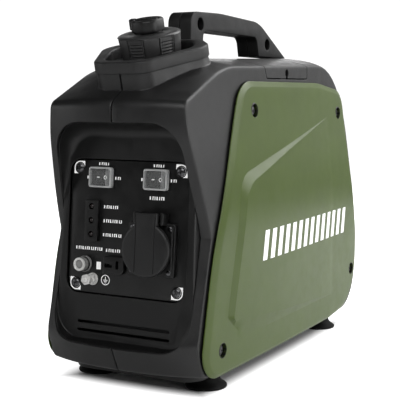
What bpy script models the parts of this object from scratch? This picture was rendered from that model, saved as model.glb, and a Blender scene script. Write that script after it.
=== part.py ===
"""Inverter generator: a suitcase-shaped portable generator built from separate pieces.

Frame: the origin is on the ground at the centre of the footprint, +Z is up, the control
panel faces -Y and +X is the right-hand side seen from behind the machine.
Sizes below are in millimetres; the helpers turn them into metres with MM.
"""
import bpy
import bmesh
from math import acos, atan2, cos, pi, radians, sin, tan
from mathutils import Matrix, Vector

MM = 0.001
GAP = 0.3                    # running gap between neighbouring pieces

# Casing
HALF_WIDTH = 85.0            # crease to middle plane, up to the waist
TOP_NARROWING = 12.0         # how much narrower each side is at the top
WAIST_Z = 150.0
NARROWING_SPAN = 160.0       # height over which the sides draw in
SIDE_BOW = 3.0               # bulge of the side faces along the length
BOW_CENTRE_Y = 6.0
BOW_REACH_Y = 208.0
CROWN_POWER = 2.5            # how square the crowned band is across the width
SEAM = 0.7                   # gap between the casing halves
WALL = 2.8
FLOOR_Z = 21.0
SERVICE_SCALE = 0.62         # side service opening relative to the side face
SIDE_CENTRE = (2.0, 162.0)   # y, z of the middle of a side face

# Side outline at the crease, and the same corners on the middle plane: y, z, radius
CREASE = [(-190, FLOOR_Z, 8), (-203.5, 50, 22), (-176, WAIST_Z, 12), (-205, 236, 150),
          (-207, 274.5, 9), (-130, 308.5, 120), (186, 317, 85), (196, 190, 120),
          (214, 112, 90), (210, FLOOR_Z, 50)]
CENTRE = [(-204, FLOOR_Z, 6), (-218, 50, 10), (-186, WAIST_Z, 12), (-213, 236, 150),
          (-213, 276, 12), (-135, 317.5, 120), (190, 327.5, 60), (205, 190, 120),
          (218, 112, 90), (216, FLOOR_Z, 50)]

# Side panel
PANEL_LIFT = 4.5             # how far the panel face stands off the side of the casing
PANEL_EDGE = 1.8             # clearance between the panel's rim and the casing
PANEL_CHAMFER = 6.5
PANEL_WALL = 1.9
PANEL_OUTLINE = [(-102, 295.5, 34), (95, 295.5, 200), (176, 286, 26), (186, 190, 100),
                 (205, 112, 80), (203, 28, 62), (110, 20, 160), (-203, 18, 26),
                 (-176, 140, 300)]
PANEL_SCREWS = [(-77, 266.3), (-161.6, 42.5), (154.8, 260.3), (184, 68.1)]
WELL_RADIUS = 7.0
WELL_FLOOR = (1.5, 2.6)      # underside and upper side of a well's floor above the casing

# Front
FASCIA_OUTLINE = [(66, 257, 32), (75.5, 168, 150), (78.5, 82, 160), (78.5, 45, 26),
                  (-78.5, 45, 26), (-78.5, 82, 160), (-75.5, 168, 150), (-66, 257, 32)]
FASCIA_WALL = 2.2
FASCIA_SLOTS = (54.5, 62.7)  # heights of the two slots under the control panel
PLATE_TILT = 4.9             # lean of the control panel, degrees
PLATE_ORIGIN = (0, -185.8, 155.25)
PLATE_HALF = (66.0, 62.4)
PLATE_CORNER = 13.0
PLATE_THICK = 2.2
PLATE_SINK = 2.0             # how deep the plate sits in the fascia
PLATE_SCREWS = (56.8, 56.2)
SWITCHES = {"economy": (-29.7, 47.8), "engine": (32.0, 47.8)}
SWITCH_HALF = (15.0, 10.4)
SWITCH_POCKET = (12.0, 7.6)
LAMPS = {"output": 19.5, "overload": 6.0, "oil": -7.5}
LAMP_X = -39.0
STRIP_HALF = (7.5, 20.0)
STRIP_Z = 5.5
BREAKER_AT = (-46.5, -37.0)
DC_AT = (-11.0, -36.0)
DC_HALF = (11.6, 8.4)
EARTH_AT = (-37.0, -51.0)
OUTLET_AT = (30.3, -17.6)
OUTLET_HALF = 25.3
OUTLET_RADIUS = 21.0
LID_RADIUS = 25.4
LID_HINGE = (29.5, 9.5)      # height above the outlet's middle, distance off the plate
LID_UNDERSIDE = 11.6         # how far the lid's back stands off the plate
LID_TAB_HALF = 11.6

# Filler
FILLER_ORIGIN = (0, -140.9, 327.1)
FILLER_TILT = 14.5
COLLAR_THICK = 11.2
COLLAR_OUTLINE = [(28, -62, 12), (60, 10, 8), (34, 42, 16), (-34, 42, 16), (-60, 10, 8),
                  (-28, -62, 12)]
COLLAR_HOLE = [(20, -49, 14), (45, 4, 10), (28, 33, 14), (-28, 33, 14), (-45, 4, 10), (-20, -49, 14)]
CAP_RADIUS = 30.5
KNOB_RADIUS = 16.0

# Carrying handle
HANDLE_HALF = 13.5
HANDLE_OUTLINE = [(-85, 320.6, 0), (-85, 366.5, 13), (-20, 368.5, 300), (76, 365, 50),
                  (152, 326.2, 0.6), (76, 326.4, 0), (70.5, 348, 9), (-57.5, 349, 8), (-60.5, 321.4, 0)]
HANDLE_BOLTS = [(-64.5, 354.6), (98.9, 340.6)]

# Service hatch in the upper right edge
HATCH_Y = (-42.0, 71.0)
HATCH_LOW = 298.2
HATCH_INNER_X = 46.0

# Feet, tray and rear
FEET = (63.0, 144.0)
TRAY = (72.0, 182.0, 11.7, 20.7)     # half width, half length, bottom, top
REAR_OUTLINE = [(56, 62, 16), (56, 236, 16), (-56, 236, 16), (-56, 62, 16)]
REAR_PLATE = (196.0, 200.0)
EXHAUST_AT = (0.0, 112.0)

# Drive train: everything turns about one line along X
CRANK_AT = (62.0, 118.0)             # y, z
ROTOR_RADIUS = 58.0
PULLEY_RADIUS = 40.0
RECOIL_AT = (-16.0, 208.0)           # y, z of the recoil handle
CHOKE_AT = (-92.0, 150.0)            # y, z of the choke lever

UPRIGHT = (0, 0, 0)
SIDEWAYS = (0, pi / 2, 0)            # local z along +X
FACING = (pi / 2, 0, 0)              # local z along -Y, local y up
PROFILE = (pi / 2, 0, pi / 2)        # local x along Y, local y up, local z along +X


def start():
    """An empty scene with one collection for the parts and one for the cutters."""
    for obj in list(bpy.data.objects):
        bpy.data.objects.remove(obj, do_unlink=True)
    for name in ("inverter_generator", "cutters"):
        group = bpy.data.collections.new(name)
        bpy.context.scene.collection.children.link(group)


def material(name, colour, roughness, metallic=0.0):
    """One Principled material."""
    made = bpy.data.materials.new(name)
    made.use_nodes = True
    shader = made.node_tree.nodes["Principled BSDF"]
    shader.inputs["Base Color"].default_value = (*colour, 1)
    shader.inputs["Roughness"].default_value = roughness
    shader.inputs["Metallic"].default_value = metallic
    made.diffuse_color = (*colour, 1)
    return made


def mm(*values):
    """A length or a place given in millimetres."""
    return tuple(value * MM for value in values)


def place(obj, at=(0, 0, 0), turn=UPRIGHT, parent=None):
    """Give an object its place in millimetres, its rotation and its parent."""
    obj.location = mm(*at)
    obj.rotation_euler = turn
    obj.parent = parent
    return obj


def link(obj, finish=None, group="inverter_generator"):
    """Put an object in a collection and give it its material."""
    for old in list(obj.users_collection):
        old.objects.unlink(obj)
    bpy.data.collections[group].objects.link(obj)
    if finish:
        obj.data.materials.clear()
        obj.data.materials.append(finish)
    return obj


def smooth(obj, angle=35):
    """Smooth shading, with edges sharper than the angle kept sharp."""
    obj.data.shade_smooth()
    obj.data.set_sharp_from_angle(angle=radians(angle))
    return obj


def from_bmesh(name, bm, finish=None):
    """A new object from a bmesh."""
    mesh = bpy.data.meshes.new(name)
    bm.to_mesh(mesh)
    bm.free()
    obj = bpy.data.objects.new(name, mesh)
    return link(obj, finish)


def rounded(corners, steps=3, splits=1):
    """Closed outline through (a, b, radius) corners, each corner turned with an arc."""
    points = []
    for i, (a, b, radius) in enumerate(corners):
        here = Vector((a, b))
        if radius == 0:
            points.append(here)
        else:
            before = (Vector(corners[i - 1][:2]) - here).normalized()
            after = (Vector(corners[(i + 1) % len(corners)][:2]) - here).normalized()
            half = before.angle(after) / 2
            centre = here + (before + after).normalized() * radius / sin(half)
            first = here + before * radius / tan(half) - centre
            last = here + after * radius / tan(half) - centre
            turn = atan2(first.x * last.y - first.y * last.x, first.dot(last))
            for k in range(steps + 1):
                points.append(centre + Matrix.Rotation(turn * k / steps, 2) @ first)
    return split_edges(points, corners, steps, splits)


def split_edges(points, corners, steps, splits):
    """Divide the straight stretches between the corners into equal parts."""
    if splits == 1:
        return [(p.x, p.y) for p in points]
    ends = set()
    index = -1
    for corner in corners:
        index += 1 if corner[2] == 0 else steps + 1
        ends.add(index)
    result = []
    for i, point in enumerate(points):
        result.append((point.x, point.y))
        if i in ends:
            after = points[(i + 1) % len(points)]
            for k in range(1, splits):
                mid = point.lerp(after, k / splits)
                result.append((mid.x, mid.y))
    return result


def inset(corners, amount):
    """The same corners pulled in by an amount, for an outline run around either way."""
    area = sum(a[0] * b[1] - b[0] * a[1] for a, b in zip(corners, corners[1:] + corners[:1]))
    side = 1 if area > 0 else -1
    result = []
    for i, (a, b, radius) in enumerate(corners):
        here = Vector((a, b))
        back = (here - Vector(corners[i - 1][:2])).normalized()
        forth = (Vector(corners[(i + 1) % len(corners)][:2]) - here).normalized()
        normal_back = Vector((-back.y, back.x)) * side
        normal_forth = Vector((-forth.y, forth.x)) * side
        middle = (normal_back + normal_forth).normalized()
        moved = here + middle * amount / max(0.2, middle.dot(normal_back))
        result.append((moved.x, moved.y, max(0, radius - amount) if radius else 0))
    return result


def as_mesh(obj, finish=None):
    """Turn a curve object into a welded mesh object at the same place."""
    bpy.context.view_layer.update()
    depsgraph = bpy.context.evaluated_depsgraph_get()
    mesh = bpy.data.meshes.new_from_object(obj.evaluated_get(depsgraph))
    bm = bmesh.new()
    bm.from_mesh(mesh)
    bmesh.ops.remove_doubles(bm, verts=bm.verts, dist=1e-6)
    bmesh.ops.recalc_face_normals(bm, faces=bm.faces)
    bm.to_mesh(mesh)
    bm.free()
    name = obj.name
    matrix = obj.matrix_world.copy()
    bpy.data.objects.remove(obj, do_unlink=True)
    made = bpy.data.objects.new(name, mesh)
    made.matrix_world = matrix
    return link(made, finish)


def prism(name, outline, low, high, turn, finish=None, at=(0, 0, 0), parent=None):
    """A flat outline given a thickness from low to high along its own z direction."""
    curve = bpy.data.curves.new(name, "CURVE")
    curve.dimensions = "2D"
    curve.fill_mode = "BOTH"
    curve.extrude = (high - low) / 2 * MM
    spline = curve.splines.new("POLY")
    spline.points.add(len(outline) - 1)
    for point, (a, b) in zip(spline.points, outline):
        point.co = (a * MM, b * MM, 0, 1)
    spline.use_cyclic_u = True
    obj = bpy.data.objects.new(name, curve)
    link(obj)
    obj = as_mesh(obj, finish)
    obj.data.transform(Matrix.Translation(mm(0, 0, (low + high) / 2)))
    return smooth(place(obj, at, turn, parent))


def turned(name, profile, steps, finish=None, at=(0, 0, 0), turn=UPRIGHT, parent=None):
    """A turned piece: (radius, height) points from top to bottom swept round local z."""
    mesh = bpy.data.meshes.new(name)
    points = [mm(radius, 0, height) for radius, height in profile]
    edges = [(i, i + 1) for i in range(len(points) - 1)]
    if profile[0][0] > 0 and profile[-1][0] > 0:
        edges.append((len(points) - 1, 0))
    mesh.from_pydata(points, edges, [])
    obj = bpy.data.objects.new(name, mesh)
    link(obj, finish)
    screw = obj.modifiers.new("Screw", "SCREW")
    screw.steps = steps
    screw.render_steps = steps
    screw.use_merge_vertices = True
    screw.merge_threshold = 0.00001
    screw.use_smooth_shade = False
    return place(obj, at, turn, parent)


def box(name, low, high, finish=None, bevel=0, at=(0, 0, 0), turn=UPRIGHT, parent=None):
    """A box between two corners, with bevelled edges where asked."""
    bm = bmesh.new()
    bmesh.ops.create_cube(bm, size=1)
    size = [(b - a) * MM for a, b in zip(low, high)]
    middle = mm(*[(a + b) / 2 for a, b in zip(low, high)])
    bmesh.ops.scale(bm, vec=size, verts=bm.verts)
    bmesh.ops.translate(bm, vec=middle, verts=bm.verts)
    obj = from_bmesh(name, bm, finish)
    if bevel:
        modifier = obj.modifiers.new("Bevel", "BEVEL")
        modifier.width = bevel * MM
        modifier.segments = 1
    return place(obj, at, turn, parent)


def cylinder(name, radius, low, high, steps=16, finish=None, at=(0, 0, 0), turn=UPRIGHT, parent=None):
    """A straight cylinder along local z."""
    bm = bmesh.new()
    bmesh.ops.create_cone(bm, cap_ends=True, segments=steps, radius1=radius * MM,
                          radius2=radius * MM, depth=(high - low) * MM)
    bmesh.ops.translate(bm, vec=mm(0, 0, (low + high) / 2), verts=bm.verts)
    return place(from_bmesh(name, bm, finish), at, turn, parent)


def cut(obj, tool, operation="DIFFERENCE"):
    """Cut or join a piece with a hidden tool."""
    link(tool, group="cutters")
    tool.hide_render = True
    tool.display_type = "WIRE"
    modifier = obj.modifiers.new(tool.name, "BOOLEAN")
    modifier.operation = operation
    modifier.object = tool
    return obj


def join(obj, tool):
    """Join a piece with a hidden tool."""
    return cut(obj, tool, "UNION")


def skin(name, loops, thickness, cap=False, finish=None):
    """A shell from closed loops of points, each one joined to the next, made thick inwards."""
    bm = bmesh.new()
    rings = [[bm.verts.new(mm(*point)) for point in loop] for loop in loops]
    for ring, following in zip(rings, rings[1:]):
        for i in range(len(ring)):
            j = (i + 1) % len(ring)
            bm.faces.new((ring[i], following[i], following[j], ring[j]))
    if cap:
        last = rings[-1]
        middle = bm.verts.new(sum((vert.co for vert in last), Vector()) / len(last))
        for i in range(len(last)):
            bm.faces.new((last[i], middle, last[(i + 1) % len(last)]))
    obj = from_bmesh(name, bm, finish)
    modifier = obj.modifiers.new("Solidify", "SOLIDIFY")
    modifier.thickness = thickness * MM
    modifier.offset = -1
    modifier.use_even_offset = True
    return obj


def mirrored(obj, name):
    """A mirror copy across the middle plane, made from the finished shape."""
    bpy.context.view_layer.update()
    depsgraph = bpy.context.evaluated_depsgraph_get()
    mesh = bpy.data.meshes.new_from_object(obj.evaluated_get(depsgraph))
    mesh.transform(Matrix.Scale(-1, 4, (1, 0, 0)) @ obj.matrix_world)
    mesh.flip_normals()
    made = bpy.data.objects.new(name, mesh)
    return link(made, obj.data.materials[0])


def half_width(z):
    """Distance from the middle plane to the crease at a height."""
    rise = min(1.0, max(0.0, (z - WAIST_Z) / NARROWING_SPAN))
    return HALF_WIDTH - TOP_NARROWING * sin(pi / 2 * rise) ** 1.8


def side_x(y, z):
    """The side face of the casing."""
    return half_width(z) + SIDE_BOW * max(0.0, 1 - ((y - BOW_CENTRE_Y) / BOW_REACH_Y) ** 2)


def bezel_y(x, z):
    """Front surface of the casing at a place, from the crease and middle outlines."""
    heights = [FLOOR_Z, 50, WAIST_Z, 205, 262, 280]
    crease = [-190, -202, -176.5, -194, -205, -199]
    middle = [-204, -217, -187, -202, -212, -203]
    for k in range(len(heights) - 1):
        if z <= heights[k + 1]:
            break
    share = (z - heights[k]) / (heights[k + 1] - heights[k])
    edge = crease[k] + (crease[k + 1] - crease[k]) * share
    centre = middle[k] + (middle[k + 1] - middle[k]) * share
    return edge + (centre - edge) * (1 - abs(x / half_width(z)) ** CROWN_POWER)


def casing_loops():
    """Loops of the right casing half, from the middle plane to the service opening."""
    crease = rounded(CREASE, 3, 2)
    centre = rounded(CENTRE, 3, 2)
    loops = []
    for u in (0.0, 0.5, 0.8, 1.0):
        loop = []
        for (y, z), (ym, zm) in zip(crease, centre):
            blend = 1 - u ** CROWN_POWER
            x = max(SEAM / 2, u * side_x(y, z))
            loop.append((x, y + (ym - y) * blend, z + (zm - z) * blend))
        loops.append(loop)
    cy, cz = SIDE_CENTRE
    for scale in (0.82, SERVICE_SCALE):
        loop = []
        for y, z in crease:
            yi, zi = cy + (y - cy) * scale, cz + (z - cz) * scale
            loop.append((side_x(yi, zi), yi, zi))
        loops.append(loop)
    return loops


def filler_frame():
    """Empty on the filler's axis, tilted forward with the collar."""
    frame = bpy.data.objects.new("filler_frame", None)
    link(frame)
    return place(frame, FILLER_ORIGIN, (radians(FILLER_TILT), 0, 0))


def plate_frame():
    """Empty at the middle of the control panel's face, leaning back with it."""
    frame = bpy.data.objects.new("plate_frame", None)
    link(frame)
    return place(frame, PLATE_ORIGIN, (radians(-PLATE_TILT), 0, 0))


def make_boss(filler):
    """Right half of the raised boss under the filler collar, as a tool to join to the casing."""
    lean = cos(radians(FILLER_TILT))
    base_y = FILLER_ORIGIN[1] + COLLAR_THICK * sin(radians(FILLER_TILT))
    corners = inset(COLLAR_OUTLINE, 1.2)
    front, rear = corners[0][1], corners[2][1]
    corners = [(GAP / 2, front, 0)] + corners[0:3] + [(GAP / 2, rear, 0)]
    plan = [(x, base_y + v * lean) for x, v in rounded(corners)]
    boss = prism("boss", plan, 240, 350, UPRIGHT)
    slab = box("boss_slab", (-90, -90, -42), (90, 90, -COLLAR_THICK - GAP), parent=filler)
    return cut(boss, slab, "INTERSECT")


def make_casing(finish, filler):
    """The two halves of the casing, split on the middle plane."""
    right = skin("casing_right", casing_loops(), WALL, finish=finish)
    join(right, make_boss(filler))
    well = prism("filler_well", rounded(COLLAR_HOLE), -80, 20, UPRIGHT, parent=filler)
    cut(right, well)
    cut(right, prism("front_opening", rounded(FASCIA_OUTLINE), 150, 260, FACING))
    cut(right, prism("rear_opening", rounded(REAR_OUTLINE), -260, -150, FACING))
    for i, (y, z) in enumerate(PANEL_SCREWS):
        cut(right, cylinder("pilot_%d" % i, 2.6, 60, 100, 8, at=(0, y, z), turn=SIDEWAYS))
    left = mirrored(right, "casing_left")
    y0, y1 = HATCH_Y
    cut(right, box("hatch_opening", (HATCH_INNER_X, y0, HATCH_LOW), (100, y1, 340)))
    return smooth(right), smooth(left)


def make_hatch(finish, screw_finish):
    """Service hatch over the upper right edge, and its screw."""
    hatch = skin("service_hatch", casing_loops(), WALL - 0.2, finish=finish)
    y0, y1 = HATCH_Y
    keep = box("hatch_keep", (HATCH_INNER_X + GAP, y0 + GAP, HATCH_LOW + GAP), (100, y1 - GAP, 340))
    cut(hatch, keep, "INTERSECT")
    middle = (y0 + y1) / 2
    notch = cylinder("hatch_notch", 3.4, 60, 100, 10, at=(0, middle, 304.5), turn=SIDEWAYS)
    cut(hatch, notch)
    at = (72.4, middle, 304.5)
    turned("hatch_screw", [(0, 4.6), (2.9, 4.6), (2.9, 0)] + [(0, 0)], 10, screw_finish, at, SIDEWAYS)
    return smooth(hatch)


def panel_loops(side):
    """Loops of a side panel from its edge on the casing to its middle; side is 1 or -1."""
    loops = []
    cy, cz = SIDE_CENTRE
    levels = ((0, PANEL_EDGE), (0.2, PANEL_EDGE + 1.2), (PANEL_CHAMFER, PANEL_LIFT))
    for depth, lift in levels:
        outline = rounded(inset(PANEL_OUTLINE, depth), 3)
        loops.append([(side * (side_x(y, z) + lift), y, z) for y, z in outline])
    face = rounded(inset(PANEL_OUTLINE, PANEL_CHAMFER), 3)
    for scale in (0.72, 0.38, 0.1):
        inner = [(cy + (y - cy) * scale, cz + (z - cz) * scale) for y, z in face]
        loops.append([(side * (side_x(y, z) + PANEL_LIFT), y, z) for y, z in inner])
    return loops if side > 0 else [list(reversed(loop)) for loop in loops]


def make_side_panel(name, side, finish):
    """Bowed cover over one side of the casing, with a well for each of its screws."""
    panel = skin(name, panel_loops(side), PANEL_WALL, True, finish)
    turn = SIDEWAYS if side > 0 else (0, -pi / 2, 0)
    low, high = WELL_FLOOR
    for i, (y, z) in enumerate(PANEL_SCREWS):
        face = side_x(y, z)
        at = (0, y, z)
        join(panel, cylinder("well_%d" % i, WELL_RADIUS + 1.6, face + low, face + 3.4, 10, at=at, turn=turn))
        cut(panel, cylinder("bore_%d" % i, WELL_RADIUS, face + high, face + 9, 10, at=at, turn=turn))
        cut(panel, cylinder("clear_%d" % i, 2.6, face - 4, face + 9, 6, at=at, turn=turn))
    return smooth(panel)


def open_left_panel(left):
    """Pocket for the recoil handle and hole for the choke shaft."""
    y, z = RECOIL_AT
    face = side_x(y, z) + PANEL_LIFT
    join(left, box("pocket_shell", (-face + 0.9, y - 50.5, z - 22), (-face + 27, y + 50.5, z + 22)))
    cut(left, box("pocket", (-face - 5, y - 48, z - 19.5), (-face + 25, y + 48, z + 19.5)))
    cut(left, cylinder("rope_hole", 4.5, -80, -40, 12, at=(0, y, z), turn=SIDEWAYS))
    y, z = CHOKE_AT
    cut(left, cylinder("choke_hole", 5.0, -120, -60, 12, at=(0, y, z), turn=SIDEWAYS))


def fascia_y(z):
    """Front surface of the fascia, a plane that leans back with the control panel."""
    lean = tan(radians(PLATE_TILT))
    return PLATE_ORIGIN[1] - PLATE_SINK - (PLATE_ORIGIN[2] - z) * lean


def plate_corners(grow, radius):
    """Rounded corners of the control panel's outline, grown by an amount."""
    a, b = PLATE_HALF[0] + grow, PLATE_HALF[1] + grow
    return [(a, b, radius), (a, -b, radius), (-a, -b, radius), (-a, b, radius)]


def make_fascia(finish, plate):
    """Tray behind the front opening, with a recess and a window for the control panel."""
    rim = rounded(inset(FASCIA_OUTLINE, 2.9), 3)
    floor = rounded(inset(FASCIA_OUTLINE, 4.2), 3)
    loops = [[(x, bezel_y(x, z) + 1.6, z) for x, z in rim], [(x, fascia_y(z), z) for x, z in floor]]
    fascia = skin("front_fascia", loops, FASCIA_WALL, True, finish)
    join(fascia, prism("backing", rounded(plate_corners(5, PLATE_CORNER)), -6, 0.5, FACING, parent=plate))
    cut(fascia, prism("plate_recess", rounded(plate_corners(GAP, PLATE_CORNER)), -PLATE_THICK - GAP, 20,
                      FACING, parent=plate))
    window = [(50, 58, 4), (50, -58, 4), (-50, -58, 4), (-50, 58, 4)]
    cut(fascia, prism("plate_window", rounded(window, 1), -20, 20, FACING, parent=plate))
    x, z = BREAKER_AT
    cut(fascia, cylinder("breaker_clearance", 6.5, -20, 9, 10, at=(x, 0, z), turn=FACING, parent=plate))
    for i, z in enumerate(FASCIA_SLOTS):
        cut(fascia, box("slot_%d" % i, (-50.7, -215, z - 1.4), (50.7, -180, z + 1.4)))
    for i, (sx, sz) in enumerate(four_corners()):
        at = (sx * PLATE_SCREWS[0], 0, sz * PLATE_SCREWS[1])
        cut(fascia, cylinder("plate_pilot_%d" % i, 2.2, -20, 9, 8, at=at, turn=FACING, parent=plate))
    return smooth(fascia)


def four_corners():
    """Signs of the four corners."""
    return [(1, 1), (1, -1), (-1, -1), (-1, 1)]


def make_control_panel(finish, screw_finish, plate):
    """Flat plate with holes for its fittings, and its four screws."""
    panel = prism("control_panel", rounded(plate_corners(0, PLATE_CORNER)), -PLATE_THICK, 0, FACING,
                  finish, parent=plate)
    holes = [(BREAKER_AT, 5.2), (EARTH_AT, 3.3), (OUTLET_AT, 19.0)]
    for i, ((x, z), radius) in enumerate(holes):
        tool = cylinder("panel_hole_%d" % i, radius, -9, 9, 12, at=(x, 0, z), turn=FACING, parent=plate)
        cut(panel, tool)
    for x, z in SWITCHES.values():
        a, b = SWITCH_POCKET[0] + 1.3, SWITCH_POCKET[1] + 1.3
        cut(panel, box("switch_hole", (x - a, -9, z - b), (x + a, 9, z + b), parent=plate))
    x, z = DC_AT
    cut(panel, box("dc_hole", (x - 9, -9, z - 6), (x + 9, 9, z + 6), parent=plate))
    for i, (sx, sz) in enumerate(four_corners()):
        at = (sx * PLATE_SCREWS[0], 0, sz * PLATE_SCREWS[1])
        cut(panel, cylinder("screw_hole_%d" % i, 2.3, -9, 9, 8, at=at, turn=FACING, parent=plate))
        make_screw("panel_screw_%d" % (i + 1), 4.6, 2.2, 1.9, 5.4, screw_finish, at, FACING, plate)
    return panel


def make_screw(name, head, height, shank, length, finish, at, turn, parent=None):
    """Round-headed screw with its head resting a hair above local z = 0."""
    profile = [(0, height), (head * 0.6, height), (head, height * 0.45), (head, GAP), (shank, GAP),
               (shank, -length), (0, -length)]
    return smooth(turned(name, profile, 10, finish, at, turn, parent))


def make_switch(label, finish, rocker_finish, plate):
    """Rocker switch: a housing clipped through the panel and a rocker that tips left and right."""
    x, z = SWITCHES[label]
    a, b = SWITCH_HALF
    c, d = SWITCH_POCKET
    body = box(label + "_switch", (x - a, -4.5, z - b), (x + a, -GAP, z + b), finish, 0.8, parent=plate)
    neck = box("switch_neck", (x - c - 1, -2, z - d - 1), (x + c + 1, 16, z + d + 1), parent=plate)
    join(body, neck)
    cut(body, box("switch_pocket", (x - c, -9, z - d), (x + c, 13, z + d), parent=plate))
    swing = c - 0.8
    outline = [(swing, 1.2, 0), (0, -0.6, 40), (-swing, 1.2, 0), (-swing, -5, 0), (-3, -9, 0),
               (3, -9, 0), (swing, -5, 0)]
    rocker = prism(label + "_rocker", rounded(outline, 3), -d + 0.6, d - 0.6, UPRIGHT, rocker_finish)
    rocker.data.transform(Matrix.Scale(-1, 4, (0, 1, 0)))
    rocker.data.flip_normals()
    place(rocker, (x, -2.2, z), UPRIGHT, plate)


def make_indicators(finish, lens_finish, plate):
    """Dark strip with three round indicator lamps."""
    a, b = STRIP_HALF
    z = STRIP_Z
    strip = box("indicator_strip", (LAMP_X - a, -4, z - b), (LAMP_X + a, -GAP, z + b), finish, 0.8,
                parent=plate)
    for label, height in LAMPS.items():
        at = (LAMP_X, 0, height)
        cut(strip, cylinder("lamp_hole", 2.9, -5, 9, 10, at=at, turn=FACING, parent=plate))
        profile = [(0, 4.6), (1.8, 4.2), (2.6, 3.0), (2.6, 0.3), (0, 0.3)]
        smooth(turned("lamp_" + label, profile, 10, lens_finish, at, FACING, plate))


def make_small_fittings(finish, clear_finish, metal, plate):
    """Direct-current breaker with its button, direct-current socket and earth terminal."""
    x, z = BREAKER_AT
    at = (x, 0, z)
    body = [(9.0, 3.6), (9.0, GAP), (4.9, GAP), (4.9, -12), (3.4, -12), (3.4, 3.6)]
    smooth(turned("breaker_body", body, 14, finish, at, FACING, plate))
    button = [(0, 10.5), (2.2, 10.5), (3.1, 9.6), (3.1, -9), (0, -9)]
    smooth(turned("breaker_button", button, 12, clear_finish, at, FACING, plate))
    x, z = DC_AT
    a, b = DC_HALF
    outline = [(x + a, z + b, 2), (x + a, z - b, 5), (x - a, z - b, 2), (x - a, z + b, 2)]
    socket = prism("dc_socket", rounded(outline, 2), GAP, 5.5, FACING, finish, parent=plate)
    join(socket, box("dc_back", (x - 8.7, -2, z - 5.7), (x + 8.7, 14, z + 5.7), parent=plate))
    cut(socket, box("dc_slot_a", (x - 9, -9, z - 2), (x - 2, 8, z + 0.6), parent=plate))
    cut(socket, box("dc_slot_b", (x + 3, -9, z - 2.8), (x + 5.6, 8, z + 4.2), parent=plate))
    x, z = EARTH_AT
    stud = [(0, 15), (2.6, 14.4), (2.6, 11), (5.2, 11), (5.2, 7.2), (3.2, 7.2), (3.2, 5), (5.2, 5),
            (5.2, 1.2), (6.6, 1.2), (6.6, GAP), (2.9, GAP), (2.9, -9), (0, -9)]
    smooth(turned("earth_terminal", stud, 12, metal, (x, 0, z), FACING, plate))


def make_outlet(finish, lid_finish, plate):
    """Mains outlet with a flange, a round body and a hinged lid."""
    x, z = OUTLET_AT
    s = OUTLET_HALF
    up, out = LID_HINGE
    outline = [(x + s, z + s, 3), (x + s, z - s, 3), (x - s, z - s, 3), (x - s, z + s, 3)]
    body = prism("ac_outlet", rounded(outline, 2), GAP, 5, FACING, finish, parent=plate)
    join(body, cylinder("outlet_barrel", OUTLET_RADIUS, 2, 11, 20, at=(x, 0, z), turn=FACING, parent=plate))
    join(body, cylinder("outlet_back", 17.8, -16, 3, 14, at=(x, 0, z), turn=FACING, parent=plate))
    cut(body, cylinder("outlet_well", 16.4, -3, 20, 14, at=(x, 0, z), turn=FACING, parent=plate))
    for side in (-1, 1):
        ear_x = x + side * 14.2
        join(body, box("outlet_ear", (ear_x - 2, -12.5, z + 22.8), (ear_x + 2, -1, z + 35), parent=plate))
        cut(body, cylinder("ear_hole", 1.5, -4, 4, 8, at=(ear_x, -out, z + up), turn=SIDEWAYS, parent=plate))
    hinge = (x, -out, z + up)
    lid = prism("ac_outlet_lid", lid_outline(), 0, 5.2, FACING, lid_finish)
    lid.data.transform(Matrix.Translation(mm(0, 0, LID_UNDERSIDE - out)))
    place(lid, hinge, FACING, plate)
    barrel = cylinder("lid_barrel", 3.4, -LID_TAB_HALF, LID_TAB_HALF, 10, at=hinge, turn=SIDEWAYS,
                      parent=plate)
    join(lid, barrel)
    join(lid, cylinder("lid_pin", 1.2, -16, 16, 8, at=hinge, turn=SIDEWAYS, parent=plate))


def lid_outline():
    """Disc of the outlet lid with its hinge tab, seen from the hinge line."""
    drop = LID_HINGE[0]
    tab_angle = acos(LID_TAB_HALF / LID_RADIUS)
    points = [(LID_TAB_HALF, 3.5), (-LID_TAB_HALF, 3.5)]
    steps = 20
    for k in range(steps + 1):
        angle = pi - tab_angle + (pi + 2 * tab_angle) * k / steps
        points.append((LID_RADIUS * cos(angle), LID_RADIUS * sin(angle) - drop))
    return points


def make_filler(collar_finish, cap_finish, filler):
    """Collar round the filler, fuel cap and vent knob, all on the tilted filler axis."""
    collar = prism("filler_collar", rounded(COLLAR_OUTLINE), -COLLAR_THICK, 0, UPRIGHT, collar_finish,
                   parent=filler)
    cut(collar, prism("collar_hole", rounded(COLLAR_HOLE), -30, 30, UPRIGHT, parent=filler))
    r = CAP_RADIUS
    cap = [(0, 15.6), (r - 3, 15.6), (r, 13), (r, -7), (r - 3, -7), (r - 3, -5), (24, -5), (24, 9), (0, 9)]
    smooth(turned("fuel_cap", cap, 24, cap_finish, parent=filler))
    k = KNOB_RADIUS
    knob = [(0, 27), (k - 1.5, 27), (k, 25.5), (k, 18), (k - 3, 18), (k - 3, 15.6 + GAP), (0, 15.6 + GAP)]
    vent = smooth(turned("vent_knob", knob, 16, cap_finish, parent=filler))
    join(vent, box("knob_tab", (-k - 2.4, -3, 18.5), (-k + 3, 3, 28.2), turn=(0, 0, radians(8)), parent=filler))


def make_handle(finish):
    """Carrying handle in two halves with bolt recesses."""
    right = prism("handle_right", rounded(HANDLE_OUTLINE, 3), GAP / 2, HANDLE_HALF, PROFILE, finish)
    bevel = right.modifiers.new("Bevel", "BEVEL")
    bevel.width = 1.6 * MM
    bevel.segments = 1
    bevel.limit_method = "ANGLE"
    bevel.angle_limit = radians(60)
    for i, (y, z) in enumerate(HANDLE_BOLTS):
        cut(right, cylinder("bolt_recess_%d" % i, 6.8, 6, 30, 14, at=(0, y, z), turn=SIDEWAYS))
    mirrored(right, "handle_left")


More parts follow.
